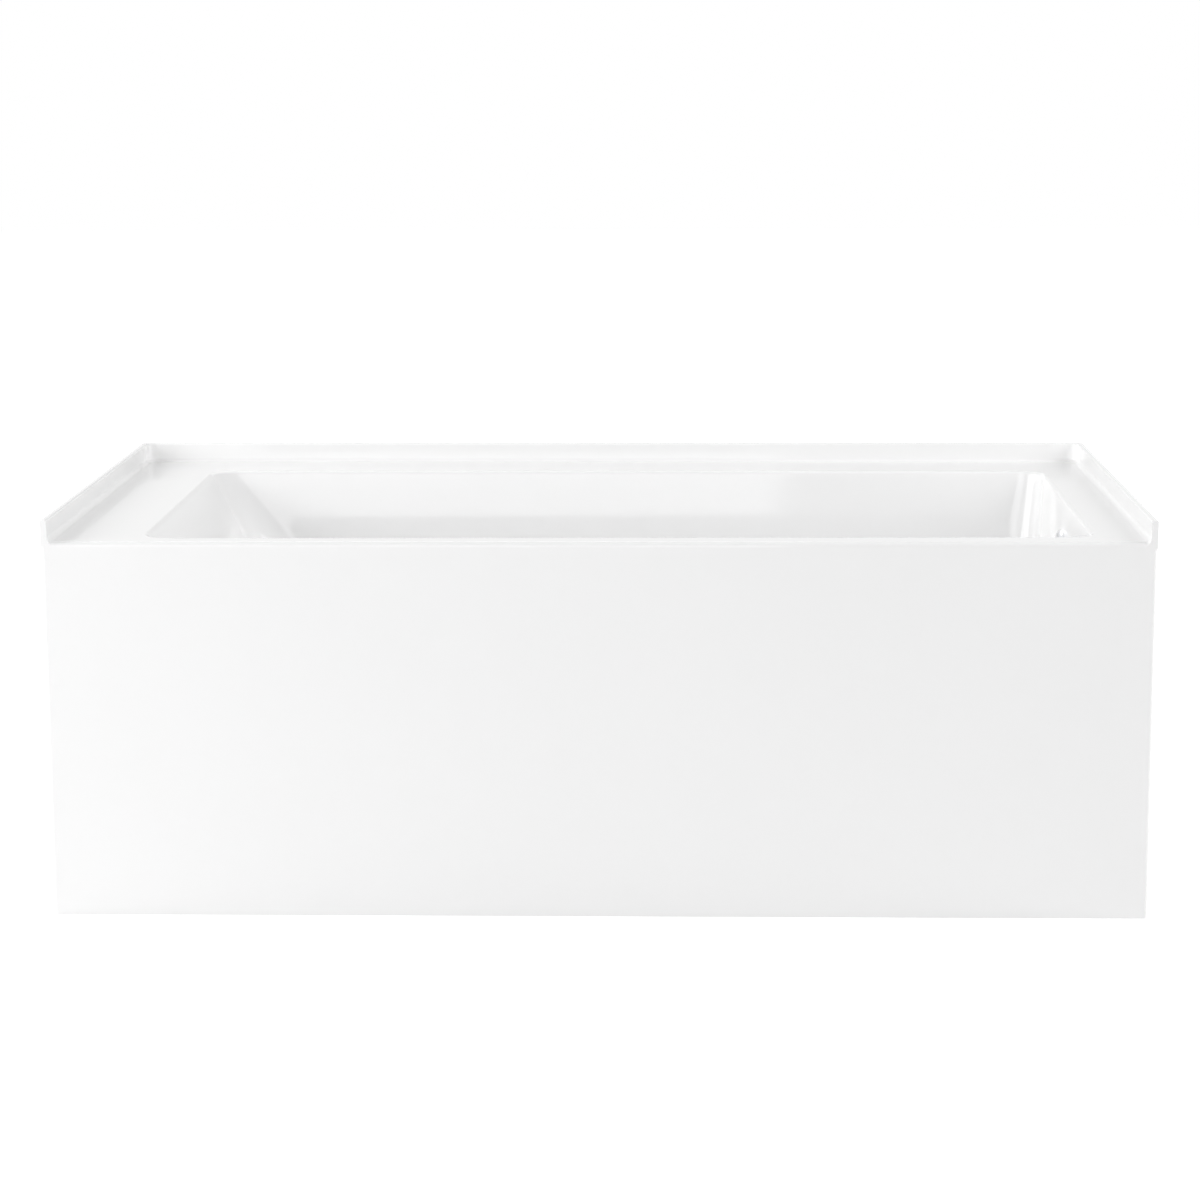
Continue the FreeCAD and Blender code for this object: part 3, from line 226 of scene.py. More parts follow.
class Finish:
    """A procedural material under construction, read in Object coordinates."""

    def __init__(self, name, base, roughness, metallic=0.0, stretch=(1.0, 1.0, 1.0), **extra):
        self.material = bpy.data.materials.new(name)
        self.material.use_nodes = True
        self.tree = self.material.node_tree
        self.shader = self.tree.nodes["Principled BSDF"]
        self.base = base
        self.set({"Base Color": (*base, 1.0), "Roughness": roughness, "Metallic": metallic})
        self.set({key.replace("_", " "): value for key, value in extra.items()})
        coordinates = add_node(self.tree, "ShaderNodeTexCoord", {})
        self.place = add_node(self.tree, "ShaderNodeMapping",
                              {"Vector": coordinates.outputs["Object"], "Scale": stretch})
        self.raised = None

    def set(self, values):
        fill(self.tree, self.shader, values)

    def pattern(self, described):
        kind, output, inputs, settings = described
        inputs = {**inputs, "Vector": self.place.outputs["Vector"]}
        return add_node(self.tree, kind, inputs, **settings).outputs[output]

    def tint(self, described, dark, light, start=0.3, end=0.7):
        """Colours the surface from a pattern, between two multiples of the base colour."""
        node = add_node(self.tree, "ShaderNodeValToRGB", {"Fac": self.pattern(described)})
        elements = node.color_ramp.elements
        for element, position, factor in zip(elements, (start, end), (dark, light)):
            factors = factor if isinstance(factor, tuple) else (factor,) * 3
            element.position = position
            element.color = (*[min(1.0, c * f) for c, f in zip(self.base, factors)], 1.0)
        self.set({"Base Color": node.outputs["Color"]})

    def wear(self, described, low, high, start=0.3, end=0.7):
        """Varies the roughness with a pattern."""
        node = add_node(self.tree, "ShaderNodeMapRange", {
            "Value": self.pattern(described), "From Min": start, "From Max": end,
            "To Min": low, "To Max": high})
        self.set({"Roughness": node.outputs["Result"]})

    def bump(self, described, distance, strength):
        """Raises the surface with a pattern, on top of any bump it has."""
        values = {"Distance": distance, "Strength": strength, "Height": self.pattern(described)}
        if self.raised is not None:
            values["Normal"] = self.raised
        self.raised = add_node(self.tree, "ShaderNodeBump", values).outputs["Normal"]
        self.set({"Normal": self.raised})

    def dressed(self, tint, wear, *bumps):
        """The material with its patterns of colour, roughness and relief."""
        self.tint(*tint)
        self.wear(*wear)
        for bump in bumps:
            self.bump(*bump)
        return self.material


def wood(name, base, along, resin):
    """Sawn timber or board with its grain along one axis: 0 is X, 1 is Y and 2 is Z."""
    stretch = [34.0, 34.0, 34.0]
    stretch[along] = 2.2
    grain = noise(1.0, 6.0, 0.65, 1.4)
    coat = {"Coat_Weight": 0.3, "Coat_Roughness": 0.25} if resin else {}
    worn = (0.35, 0.55) if resin else (0.55, 0.8)
    return Finish(name, base, 0.6, stretch=stretch, **coat).dressed(
        (grain, (0.62, 0.55, 0.46), (1.14, 1.12, 1.08), 0.32, 0.66), (grain, *worn),
        (noise(3.4, 5.0, 0.7, 0.6), 0.0007, 0.7))


def moulded(name, base, roughness, grain):
    """Injection-moulded or extruded plastic with a fine matte grain."""
    return Finish(name, base, roughness).dressed(
        (noise(14.0), 0.93, 1.06), (noise(220.0), roughness * 0.82, roughness * 1.18),
        (noise(1400.0), grain, 0.6))


def make_finishes():
    """Every finish, by the record's material slot."""
    colours = bpy.context.scene.bathtub_colours
    return {
        # cast acrylic: a hard gloss with the faint waviness of a drawn sheet
        "white_acrylic": Finish("white acrylic", colours.acrylic, 0.06, IOR=1.49, Coat_Weight=0.1,
                                Coat_Roughness=0.02).dressed(
            (noise(3.0, 2.0), 0.995, 1.003), (noise(30.0, 2.0), 0.045, 0.075),
            (noise(5.0, 1.0), 0.00004, 0.15)),
        # chopped glass strand rolled out in resin
        "glass_fibre_laminate": Finish("glass-fibre laminate", colours.laminate, 0.45).dressed(
            (noise(40.0, 8.0, 0.75, 0.6), (0.90, 0.88, 0.82), (1.10, 1.10, 1.09), 0.35, 0.65),
            (noise(18.0, 4.0), 0.28, 0.62), (cells(70.0, feature="DISTANCE_TO_EDGE"), 0.0012, 0.35),
            (noise(95.0, 6.0, 0.75, 3.0), 0.0010, 0.8), (noise(7.0, 2.0), 0.0030, 0.5)),
        "resin_coated_board": wood("resin-coated board", colours.board, 0, True),
        "softwood": wood("softwood along X", colours.softwood, 0, False),
        "softwood_y": wood("softwood along Y", colours.softwood, 1, False),
        "softwood_z": wood("softwood along Z", colours.softwood, 2, False),
        # hot-dip galvanised tube with its spangle
        "galvanised_steel": Finish("galvanised steel", colours.steel, 0.42, 1.0).dressed(
            (cells(90.0, "Color"), 0.82, 1.12, 0.2, 0.8), (cells(90.0, "Color"), 0.32, 0.55, 0.2, 0.8),
            (noise(240.0), 0.0001, 0.5)),
        # bright plating on threaded parts
        "zinc": Finish("zinc plating", colours.zinc, 0.3, 1.0).dressed(
            (noise(160.0, 4.0), (0.86, 0.87, 0.92), (1.06, 1.05, 1.0)), (noise(300.0, 4.0), 0.22, 0.42),
            (noise(900.0, 2.0), 0.00005, 0.6)),
        # a mirror with a trace of wiping marks
        "polished_chrome": Finish("polished chrome", colours.chrome, 0.06, 1.0).dressed(
            (noise(30.0, 2.0), 0.97, 1.02), (noise(420.0), 0.035, 0.085), (noise(60.0, 2.0), 0.00002, 0.4)),
        # turned, with rings round the upright axis
        "brass": Finish("turned brass", colours.brass, 0.25, 1.0, (1.0, 1.0, 60.0)).dressed(
            (noise(30.0), (0.9, 0.88, 0.82), (1.08, 1.06, 1.0)), (noise(60.0), 0.18, 0.34),
            (noise(80.0, 2.0), 0.00004, 0.6)),
        "black_plastic": moulded("black plastic", colours.plastic, 0.5, 0.00008),
        "black_fitting": moulded("black fitting", colours.fitting, 0.38, 0.00004),
        "white_pipe": moulded("white pipe", colours.pipe, 0.32, 0.00003),
        "clear_washer": moulded("washer", colours.washer, 0.4, 0.00003),
        # moulded rubber with a dusty bloom
        "black_rubber": Finish("black rubber", colours.rubber, 0.75).dressed(
            (noise(55.0, 5.0), 0.8, (1.7, 1.7, 1.75)), (noise(90.0), 0.62, 0.85),
            (noise(1100.0), 0.00006, 0.7)),
        # closed-cell foam
        "white_foam": Finish("white foam", colours.foam, 0.85).dressed(
            (noise(300.0), 0.9, 1.05), (noise(500.0, 2.0), 0.75, 0.95), (cells(900.0), 0.0003, 0.7)),
    }


FINISHES = {}


# ---------------------------------------------------------------- mesh helpers

def linked(name, data):
    """An object for a mesh, a lamp or a camera."""
    made = bpy.data.objects.new(name, data)
    bpy.context.scene.collection.objects.link(made)
    return made


def object_from(name, bm):
    """An object for a mesh that is still being edited."""
    mesh = bpy.data.meshes.new(name)
    bm.to_mesh(mesh)
    bm.free()
    return linked(name, mesh)


def evaluated(piece):
    """A new mesh of a piece with its modifiers applied."""
    bpy.context.view_layer.update()
    return bpy.data.meshes.new_from_object(piece.evaluated_get(bpy.context.evaluated_depsgraph_get()))


def quarter(steps):
    """Sine and cosine at even steps through a quarter turn."""
    turns = [math.radians(90 * k / steps) for k in range(steps + 1)]
    return [(math.sin(turn), math.cos(turn)) for turn in turns]


def dress_piece(piece, node, finish, angle):
    """Smooths a piece up to an angle, gives it a finish, ties it to its node's body and hides the node."""
    piece.data.polygons.foreach_set("use_smooth", [True] * len(piece.data.polygons))
    piece.data.set_sharp_from_angle(angle=math.radians(angle))
    piece.data.materials.clear()
    piece.data.materials.append(FINISHES[finish])
    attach(piece, body_with(node))
    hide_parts(node)


def body_with(node):
    """The CAD body that a node rides on."""
    for body, nodes in frame["record"]["behaviour"]["bodies"].items():
        if node in nodes:
            return body
    raise ValueError(f"no body has the node {node}")


def merged(node):
    """A CAD node's mesh with its doubled points joined."""
    bm = bmesh.new()
    bm.from_mesh(frame["nodes"][node].data)
    bmesh.ops.remove_doubles(bm, verts=bm.verts, dist=WELD)
    return bm


def solid_copy(node, finish, name=None, angle=SHELL_ANGLE, edge=0.0):
    """A merged copy of a CAD node with smooth rounds and, if asked, slightly broken edges."""
    bm = merged(node)
    bmesh.ops.dissolve_limit(bm, angle_limit=math.radians(0.5), verts=bm.verts, edges=bm.edges)
    if edge:
        sharp = [e for e in bm.edges if e.is_manifold and e.calc_face_angle() > math.radians(60.0)]
        bmesh.ops.bevel(bm, geom=sharp, offset=edge, segments=2, profile=0.5, affect="EDGES",
                        clamp_overlap=True)
    piece = object_from(name or f"{node}_made", bm)
    dress_piece(piece, node, finish, angle)
    keep_flat(piece)
    return piece


def solid_copies(finish, *nodes, **options):
    """Copies of several CAD nodes in one finish."""
    for node in nodes:
        solid_copy(node, finish, **options)


def keep_flat(piece):
    """Shades large flat faces flat beside their rounds."""
    weighted = piece.modifiers.new("flat faces stay flat", "WEIGHTED_NORMAL")
    weighted.keep_sharp = True


def add_grid(bm, columns, close=False):
    """Faces between neighbouring columns of points; degenerate faces vanish when doubles merge."""
    rows = [[bm.verts.new(point) for point in column] for column in columns]
    pairs = list(zip(rows, rows[1:]))
    if close:
        pairs.append((rows[-1], rows[0]))
    for left, right in pairs:
        for i in range(len(left) - 1):
            bm.faces.new((left[i], left[i + 1], right[i + 1], right[i]))
    return rows


def merge_and_face_out(bm):
    """Joins matching points, drops what collapses and turns all faces outwards."""
    bmesh.ops.remove_doubles(bm, verts=bm.verts, dist=WELD)
    bmesh.ops.dissolve_degenerate(bm, dist=COLLAPSED, edges=bm.edges)
    bmesh.ops.recalc_face_normals(bm, faces=bm.faces)


# ---------------------------------------------------------------- basin form

class BasinForm:
    """The moulded basin as rings of points, which shell and laminate share."""

    ARC_STEPS = 20
    FAN_STEPS = 8
    LONG_STEPS = 56
    SHORT_STEPS = 20
    ROUND_STEPS = 8
    WALL_STEPS = 20
    FLOOR_STEPS = 14

    def __init__(self):
        self.basin = bpy.context.scene.bathtub_basin
        self.edges = bpy.context.scene.bathtub_edges
        basin, edges = self.basin, self.edges
        self.half_length = SHELL_HIGH.x
        self.half_depth = SHELL_HIGH.y
        self.top = SHELL_HIGH.z
        self.deck = self.top - edges.flange_rise
        self.floor = basin.floor_height
        self.left = -self.half_length + basin.backrest_deck
        self.right = self.half_length - basin.drain_end_deck
        self.back = self.half_depth - basin.back_deck
        self.front_left = -self.half_depth + basin.front_ledge_backrest
        self.front_right = -self.half_depth + basin.front_ledge_drain
        self.drain = Vector((self.half_length - basin.drain_from_end,
                             (self.front_right + self.back) / 2, 0.0))
        self.depth = self.deck - self.floor

    def outline(self, corners, radii):
        """Points round a polygon with rounded corners, each corner's arc and then the side after it."""
        arcs = []
        for i, here in enumerate(corners):
            back = (corners[i - 1] - here).normalized()
            ahead = (corners[(i + 1) % 4] - here).normalized()
            half = back.angle(ahead) / 2
            centre = here + (back + ahead).normalized() * (radii[i] / math.sin(half))
            start = here + back * (radii[i] / math.tan(half)) - centre
            step = (math.pi - 2 * half) / self.ARC_STEPS
            arcs.append([centre + rotated(start, step * k) for k in range(self.ARC_STEPS + 1)])
        points = []
        for i, arc in enumerate(arcs):
            points += arc
            steps = self.LONG_STEPS if i % 2 == 0 else self.SHORT_STEPS
            ahead = arcs[(i + 1) % 4][0]
            points += [arc[-1].lerp(ahead, k / steps) for k in range(1, steps)]
        return points

    def ring(self, height, inset, floor_share, wall):
        """The basin's outline at one height. inset is [backrest, drain end, sides]."""
        basin = self.basin
        drop = self.deck - height
        left = self.left + basin.backrest_lean * drop - basin.backrest_curve * drop ** 2 + inset[0]
        right = self.right - basin.end_wall_lean * drop - inset[1]
        back = self.back - basin.side_wall_lean * drop - inset[2]
        front = basin.side_wall_lean * drop + inset[2]
        slope = (self.front_right - self.front_left) / (self.right - self.left)
        corners = [Vector((left, self.front_left + slope * (left - self.left) + front)),
                   Vector((right, self.front_left + slope * (right - self.left) + front)),
                   Vector((right, back)), Vector((left, back))]
        tight = basin.corner_deck - min(inset[2], basin.rim_round - wall)
        part = min(drop / self.depth, 1.0)
        wide_left = tight + part * (basin.corner_floor_backrest - basin.corner_deck)
        wide_right = tight + part * (basin.corner_floor_drain - basin.corner_deck)
        fall = basin.floor_fall * floor_share
        points = []
        for x, y in self.outline(corners, [wide_left, wide_right, wide_right, wide_left]):
            away = x - self.drain.x
            points.append(Vector((self.drain.x + away * math.cos(fall), y, height - away * math.sin(fall))))
        return points

    def walls(self, wall):
        """Rings from the deck down to the floor, for the skin that lies a wall outside the visible one."""
        basin = self.basin
        rim_start = self.deck - max(basin.rim_round, wall)
        wall_end = self.floor + basin.floor_round_height
        small = basin.rim_round - wall
        rings = []
        if small > 0:
            for s, c in quarter(self.ROUND_STEPS):
                rings.append(self.ring(rim_start + small * c, [small * s] * 3, 0.0, wall))
        else:
            rings.append(self.ring(rim_start, [small] * 3, 0.0, wall))
        for k in range(1, self.WALL_STEPS + 1):
            part = k / self.WALL_STEPS
            rings.append(self.ring(rim_start + (wall_end - rim_start) * part, [small] * 3, part, wall))
        rounds = (basin.floor_round_backrest, basin.floor_round_end, basin.floor_round_side)
        for s, c in quarter(self.FLOOR_STEPS)[1:]:
            inset = [small + (r + wall) * (1 - c) for r in rounds]
            rings.append(self.ring(wall_end - (basin.floor_round_height + wall) * s, inset, 1.0, wall))
        return rings

    def drain_ring(self, ring, radius, height, level):
        """A circle round the drain with a point for each of a ring's; level 0 follows the floor's fall."""
        points = []
        for point in ring:
            way = Vector((point.x - self.drain.x, point.y - self.drain.y)).normalized() * radius
            fall = (1 - level) * way.x * math.tan(self.basin.floor_fall)
            points.append(Vector((self.drain.x + way.x, self.drain.y + way.y, height - fall)))
        return points

    def border(self, ring, low_x, high_x, low_y, high_y, height, rounded=0.0):
        """A rectangle round a ring with a point for each of the ring's; its back corners may be rounded."""
        sides = [("y", low_y), ("x", high_x), ("y", high_y), ("x", low_x)]
        corners = [Vector((low_x, low_y)), Vector((high_x, low_y)),
                   Vector((high_x, high_y)), Vector((low_x, high_y))]

        def onto(point, side):
            axis, value = sides[side % 4]
            return Vector((value, point.y)) if axis == "x" else Vector((point.x, value))

        points, at = [], 0
        for i in range(4):
            start, end = onto(ring[at], i - 1), onto(ring[at + self.ARC_STEPS], i)
            radius = rounded if i > 1 else 0.0
            back, ahead = (start - corners[i]).normalized() * radius, (end - corners[i]).normalized() * radius
            centre = corners[i] + back + ahead
            step = math.pi / 2 / self.FAN_STEPS
            fan = [centre + rotated(-ahead, step * k) for k in range(self.FAN_STEPS + 1)]
            lead = (self.ARC_STEPS - self.FAN_STEPS) // 2
            corner = [start.lerp(fan[0], k / lead) for k in range(lead)] + fan
            corner += [fan[-1].lerp(end, k / lead) for k in range(1, lead + 1)]
            points += [Vector((*spot, height)) for spot in corner]
            at += self.ARC_STEPS + 1
            steps = self.LONG_STEPS if i % 2 == 0 else self.SHORT_STEPS
            for k in range(steps - 1):
                points.append(Vector((*onto(ring[at + k], i), height)))
            at += steps - 1
        return points

    def corner_points(self, corner):
        """First and last point of a border's fan at a corner, with corner 0 at the front left."""
        index = (self.ARC_STEPS - self.FAN_STEPS) // 2
        for i in range(corner):
            index += self.ARC_STEPS + (self.LONG_STEPS if i % 2 == 0 else self.SHORT_STEPS)
        return index, index + self.FAN_STEPS


def rotated(vector, angle):
    """A plane vector turned anticlockwise."""
    c, s = math.cos(angle), math.sin(angle)
    return Vector((vector.x * c - vector.y * s, vector.x * s + vector.y * c))


def rings_to_columns(rings):
    """Turns a list of rings into a list of columns, one for each point round."""
    return [list(column) for column in zip(*rings)]


def cut_overflow(piece, form, thickness):
    """Bores the overflow's hole through the drain-end wall."""
    basin = form.basin
    height = form.deck - basin.overflow_drop
    reach = form.right - basin.rim_round - basin.end_wall_lean * basin.overflow_drop
    bm = bmesh.new()
    bmesh.ops.create_cone(bm, cap_ends=True, segments=64, radius1=basin.overflow_hole,
                          radius2=basin.overflow_hole, depth=thickness * 4)
    tilt = math.atan(basin.end_wall_lean)
    turn = Matrix.Rotation(math.pi / 2 + tilt, 4, "Y")
    bm.transform(Matrix.Translation((reach, form.drain.y, height)) @ turn)
    joined(piece, object_from("overflow cutter", bm), "DIFFERENCE")


def joined(piece, tool, operation):
    """Adds a tool to a piece's mesh or cuts it away, and removes the tool."""
    modifier = piece.modifiers.new("tool", "BOOLEAN")
    modifier.operation = operation
    modifier.solver = "EXACT"
    modifier.object = tool
    made = evaluated(piece)
    piece.modifiers.clear()
    piece.data = made
    bpy.data.objects.remove(tool)


# ---------------------------------------------------------------- shell

class BATHTUB_OT_shell(bpy.types.Operator):
    """Mould the acrylic shell: basin, deck, tile flange and front lip"""
    bl_idname = "bathtub.shell"
    bl_label = "Acrylic shell"

    SUPPORT = MILLIMETRE * 1.5
    FINE = MILLIMETRE * 0.5
    LIP_STEPS, BASE_STEPS, EDGE_STEPS = 10, 8, 4

    def execute(self, context):
        form = BasinForm()
        bm = bmesh.new()
        upper, lower = self.basin_skins(form)
        edges = form.edges
        base = edges.flange_base
        flange = edges.flange_thickness + base
        low_x, high_x = -form.half_length + flange, form.half_length - flange
        low_y, high_y = -form.half_depth + edges.lip_round, form.half_depth - flange
        rim = form.ring(form.deck, [-self.SUPPORT] * 3, 0.0, 0.0)
        plan = edges.flange_inner_corner - base
        near = form.border(rim, low_x + self.SUPPORT, high_x - self.SUPPORT, low_y + self.SUPPORT,
                           high_y - self.SUPPORT, form.deck, plan - self.SUPPORT)
        far = form.border(rim, low_x, high_x, low_y, high_y, form.deck, plan)
        under = [point - Vector((0, 0, edges.wall)) for point in far]
        add_grid(bm, rings_to_columns(upper[::-1] + [rim, near, far]), close=True)
        add_grid(bm, rings_to_columns([under] + lower), close=True)
        self.add_lip(bm, form, far)
        self.add_flange(bm, form, far)
        merge_and_face_out(bm)
        piece = object_from("acrylic_shell", bm)
        cut_overflow(piece, form, edges.wall + edges.laminate)
        dress_piece(piece, "tub_shell", "white_acrylic", SHELL_ANGLE)
        return {"FINISHED"}

    def basin_skins(self, form):
        """Visible skin from the rim to the drain hole, and the underside from the rim to the same hole."""
        basin, edges = form.basin, form.edges
        upper = form.walls(0.0)
        last = upper[-1]
        well, depth, taper = basin.well_radius, basin.well_depth, basin.well_taper
        bottom = form.floor - depth
        steps = [(well + taper + 0.006, form.floor, 0.0), (well + taper + 0.0012, form.floor, 0.0),
                 (well + taper + 0.0003, form.floor - 0.0003, 0.5),
                 (well + taper - 0.0006, form.floor - 0.0012, 1.0),
                 (well + 0.0004, bottom + 0.0010, 1.0), (well - 0.0004, bottom + 0.0003, 1.0),
                 (well - 0.0014, bottom, 1.0), (basin.drain_hole + 0.0010, bottom, 1.0),
                 (basin.drain_hole + 0.0003, bottom - 0.0003, 1.0), (basin.drain_hole, bottom - 0.0010, 1.0)]
        upper += [form.drain_ring(last, radius, height, level) for radius, height, level in steps]
        lower = form.walls(edges.wall)
        last = lower[-1]
        under = form.floor - edges.wall
        steps = [(basin.boss_radius, under, 0.0), (basin.boss_radius, basin.boss_bottom, 1.0),
                 (basin.drain_hole, basin.boss_bottom, 1.0)]
        lower += [form.drain_ring(last, radius, height, level) for radius, height, level in steps]
        return upper, lower + [upper[-1]]

    def lip_profile(self, form):
        """How far the front edge stands before the deck's straight edge, and its height, outside and in."""
        edges, deck = form.edges, form.deck
        big, small = edges.lip_round, edges.lip_round - edges.wall
        outer = [(big * s, deck - big + big * c) for s, c in quarter(self.LIP_STEPS)]
        low = deck - edges.lip_height
        inner = [(small * s, deck - big + small * c) for s, c in quarter(self.LIP_STEPS)[::-1]]
        return outer, [(big, low), (small, low)] + inner

    def add_lip(self, bm, form, border):
        """The turned-down front edge, and its plain ends under the flange's."""
        outer, under = self.lip_profile(form)
        first, last = form.corner_points(0)[1], form.corner_points(1)[0]
        profile = outer + under
        add_grid(bm, [[Vector((p.x, p.y - out, z)) for out, z in profile] for p in border[first:last + 1]])
        reach = form.edges.flange_thickness + form.edges.flange_base
        for corner, way in ((border[first], -1), (border[last], 1)):
            ends = (corner.x, corner.x + way * reach)
            add_grid(bm, [[Vector((x, corner.y - out, z)) for out, z in under] for x in ends])

    def flange_profile(self, form):
        """The flange's section: distance outside the deck's edge, height and plan radius at a corner."""
        edges, deck, top = form.edges, form.deck, form.top
        base, edge, fine = edges.flange_base, edges.flange_edge, self.FINE
        full = base + edges.flange_thickness
        section = [(base * s, deck + base - base * c) for s, c in quarter(self.BASE_STEPS)]
        section += [(base, deck + base + fine), (base, top - edge - fine)]
        section += [(base + edge - edge * c, top - edge + edge * s) for s, c in quarter(self.EDGE_STEPS)]
        section += [(base + edge + fine, top), (full - edge - fine, top)]
        section += [(full - edge + edge * s, top - edge + edge * c) for s, c in quarter(self.EDGE_STEPS)]
        section += [(full, top - edge - fine), (full, deck - edges.wall)]
        inner, outer = edges.flange_inner_corner, edges.flange_outer_corner
        shrink = (inner - outer) / (full - base)
        return [(d, z, inner - base + d if d <= base else inner - (d - base) * shrink) for d, z in section]

    def add_flange(self, bm, form, border):
        """The upstand round both ends and the back, and the plain faces at its two front ends."""
        section = self.flange_profile(form)
        section.append((0.0, form.deck - form.edges.wall, section[0][2]))
        marks = [form.corner_points(i) for i in range(4)]
        low, high = border[marks[0][1]], border[marks[1][0]]
        top = border[marks[2][1]].y
        runs = [(border[marks[1][1]:marks[2][0] + 1], (1, 0)), (border[marks[2][1]:marks[3][0] + 1], (0, 1)),
                (border[marks[3][1]:] + border[:marks[0][0] + 1], (-1, 0))]
        columns = []
        for run, (points, way) in enumerate(runs):
            columns += [[self.beside(p, way, d, z) for d, z, _ in section] for p in points]
            if run < 2:
                corner = Vector((high.x if run == 0 else low.x, top))
                columns += self.corner_fan(corner, (1 - 2 * run, 1), section, run)
        add_grid(bm, columns)
        self.add_front_end(bm, form, section[:-1], high, 1)
        self.add_front_end(bm, form, section[:-1], low, -1)

    def beside(self, point, way, distance, height):
        return Vector((point.x + way[0] * distance, point.y + way[1] * distance, height))

    def corner_fan(self, corner, sign, section, run):
        """Columns round a back corner of the deck."""
        fan = []
        for s, c in quarter(BasinForm.FAN_STEPS):
            across, along = (c, s) if run == 0 else (s, c)
            fan.append([Vector((corner.x + sign[0] * (d - r + r * across),
                                corner.y + sign[1] * (d - r + r * along), z)) for d, z, r in section])
        return fan

    def add_front_end(self, bm, form, section, corner, way):
        """Where a side of the flange meets the front: its base round runs out over the lip."""
        edges = form.edges
        outer, under = self.lip_profile(form)
        columns = []
        for out, height in outer:
            fallen = form.deck - height
            column = []
            for d, z, _ in section:
                part = max(0.0, 1 - d / edges.flange_base) if z < form.deck + edges.flange_base else 0.0
                column.append(Vector((corner.x + way * d, corner.y - out, z - fallen * part)))
            columns.append(column)
        add_grid(bm, columns)
        face_y = corner.y - edges.lip_round
        low = form.deck - edges.lip_height
        reach = edges.flange_base + edges.flange_thickness
        cap = columns[-1] + [Vector((corner.x + way * reach, face_y, low)), Vector((corner.x, face_y, low))]
        bm.faces.new([bm.verts.new(p) for p in cap])
        side = [column[-1] for column in columns]
        side += [Vector((corner.x + way * reach, corner.y - out, z)) for out, z in under[:-1]]
        bm.faces.new([bm.verts.new(p) for p in side])


class BATHTUB_OT_laminate(bpy.types.Operator):
    """Lay the glass-fibre laminate over the shell's underside"""
    bl_idname = "bathtub.laminate"
    bl_label = "Glass-fibre laminate"

    def execute(self, context):
        form = BasinForm()
        edges, basin = form.edges, form.basin
        total = edges.wall + edges.laminate
        inside, outside = form.walls(edges.wall), form.walls(total)
        x, y = form.half_length - edges.laminate_margin, form.half_depth - edges.laminate_margin
        top = form.border(inside[0], -x, x, -y, y, form.deck - edges.wall)
        low = [point - Vector((0, 0, edges.laminate)) for point in top]
        hole_top = form.drain_ring(inside[-1], basin.boss_radius, form.floor - edges.wall, 0.0)
        hole_low = form.drain_ring(outside[-1], basin.boss_radius, form.floor - total, 0.0)
        rings = [hole_top] + inside[::-1] + [top, low] + outside + [hole_low, hole_top]
        bm = bmesh.new()
        add_grid(bm, rings_to_columns(rings), close=True)
        merge_and_face_out(bm)
        piece = object_from("laminate_backing", bm)
        cut_overflow(piece, form, total)
        dress_piece(piece, "shell_backing", "glass_fibre_laminate", LAMINATE_ANGLE)
        return {"FINISHED"}


# ---------------------------------------------------------------- apron, timber and frame

def apron_face(edges):
    """The apron's copy, with its front filled out square to the lip above and to the floor."""
    low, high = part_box("apron_panel")
    top = SHELL_HIGH.z - edges.flange_rise - edges.lip_height
    back = low.y + edges.wall
    bend = edges.apron_round
    outline = [Vector((high.x, back)), Vector((low.x, back))]
    for side, start in ((-1, 180), (1, 270)):
        centre = Vector((side * (high.x - bend), low.y + bend))
        for k in range(9):
            turn = math.radians(start + 90 * k / 8)
            outline.append(centre + Vector((math.cos(turn), math.sin(turn))) * bend)
    outline = [p for p in outline if p.y <= back + WELD]
    bm = bmesh.new()
    rings = [[bm.verts.new((p.x, p.y, z)) for p in outline] for z in (low.z, top)]
    for i, here in enumerate(rings[0]):
        j = (i + 1) % len(outline)
        bm.faces.new((here, rings[0][j], rings[1][j], rings[1][i]))
    for ring in rings:
        bm.faces.new(ring)
    bmesh.ops.recalc_face_normals(bm, faces=bm.faces)
    front = object_from("apron front", bm)
    piece = solid_copy("apron_panel", "white_acrylic", "apron_face")
    piece.modifiers.clear()
    joined(piece, front, "UNION")
    dress_piece(piece, "apron_panel", "white_acrylic", SHELL_ANGLE)
    keep_flat(piece)


class BATHTUB_OT_apron(bpy.types.Operator):
    """Finish the apron panel with its steel angle, battens and brackets"""
    bl_idname = "bathtub.apron"
    bl_label = "Apron"

    def execute(self, context):
        apron_face(context.scene.bathtub_edges)
        solid_copy("apron_foot_angle", "galvanised_steel", edge=BROKEN_STEEL)
        solid_copy("apron_top_batten", "softwood", edge=BROKEN_WOOD)
        for place in ("left", "middle", "right"):
            solid_copy(f"apron_stiffener_{place}", "softwood_z", edge=BROKEN_WOOD)
            solid_copy(f"apron_tie_{place}", "galvanised_steel", edge=BROKEN_STEEL)
        return {"FINISHED"}


class BATHTUB_OT_timber(bpy.types.Operator):
    """Finish the base board and the battens under the deck"""
    bl_idname = "bathtub.timber"
    bl_label = "Board and battens"

    def execute(self, context):
        solid_copy("base_board", "resin_coated_board", edge=BROKEN_BOARD)
        solid_copy("back_rim_batten", "softwood", edge=BROKEN_WOOD)
        solid_copies("softwood_y", "left_rim_batten", "right_rim_batten", edge=BROKEN_WOOD)
        return {"FINISHED"}


class BATHTUB_OT_frame(bpy.types.Operator):
    """Finish the steel frame, its plugs and the feet's pads"""
    bl_idname = "bathtub.frame"
    bl_label = "Frame and pads"

    def execute(self, context):
        solid_copies("galvanised_steel", "front_rail", "back_rail", "cross_member_left",
                     "cross_member_middle", "cross_member_right", edge=BROKEN_TUBE)
        solid_copy("tube_plugs", "black_plastic", edge=BROKEN_TUBE)
        pads = [node for node in frame["nodes"] if node.startswith("foot_pad_")]
        solid_copies("black_plastic", *pads, angle=PAD_ANGLE)
        return {"FINISHED"}


# ---------------------------------------------------------------- Geometry Nodes

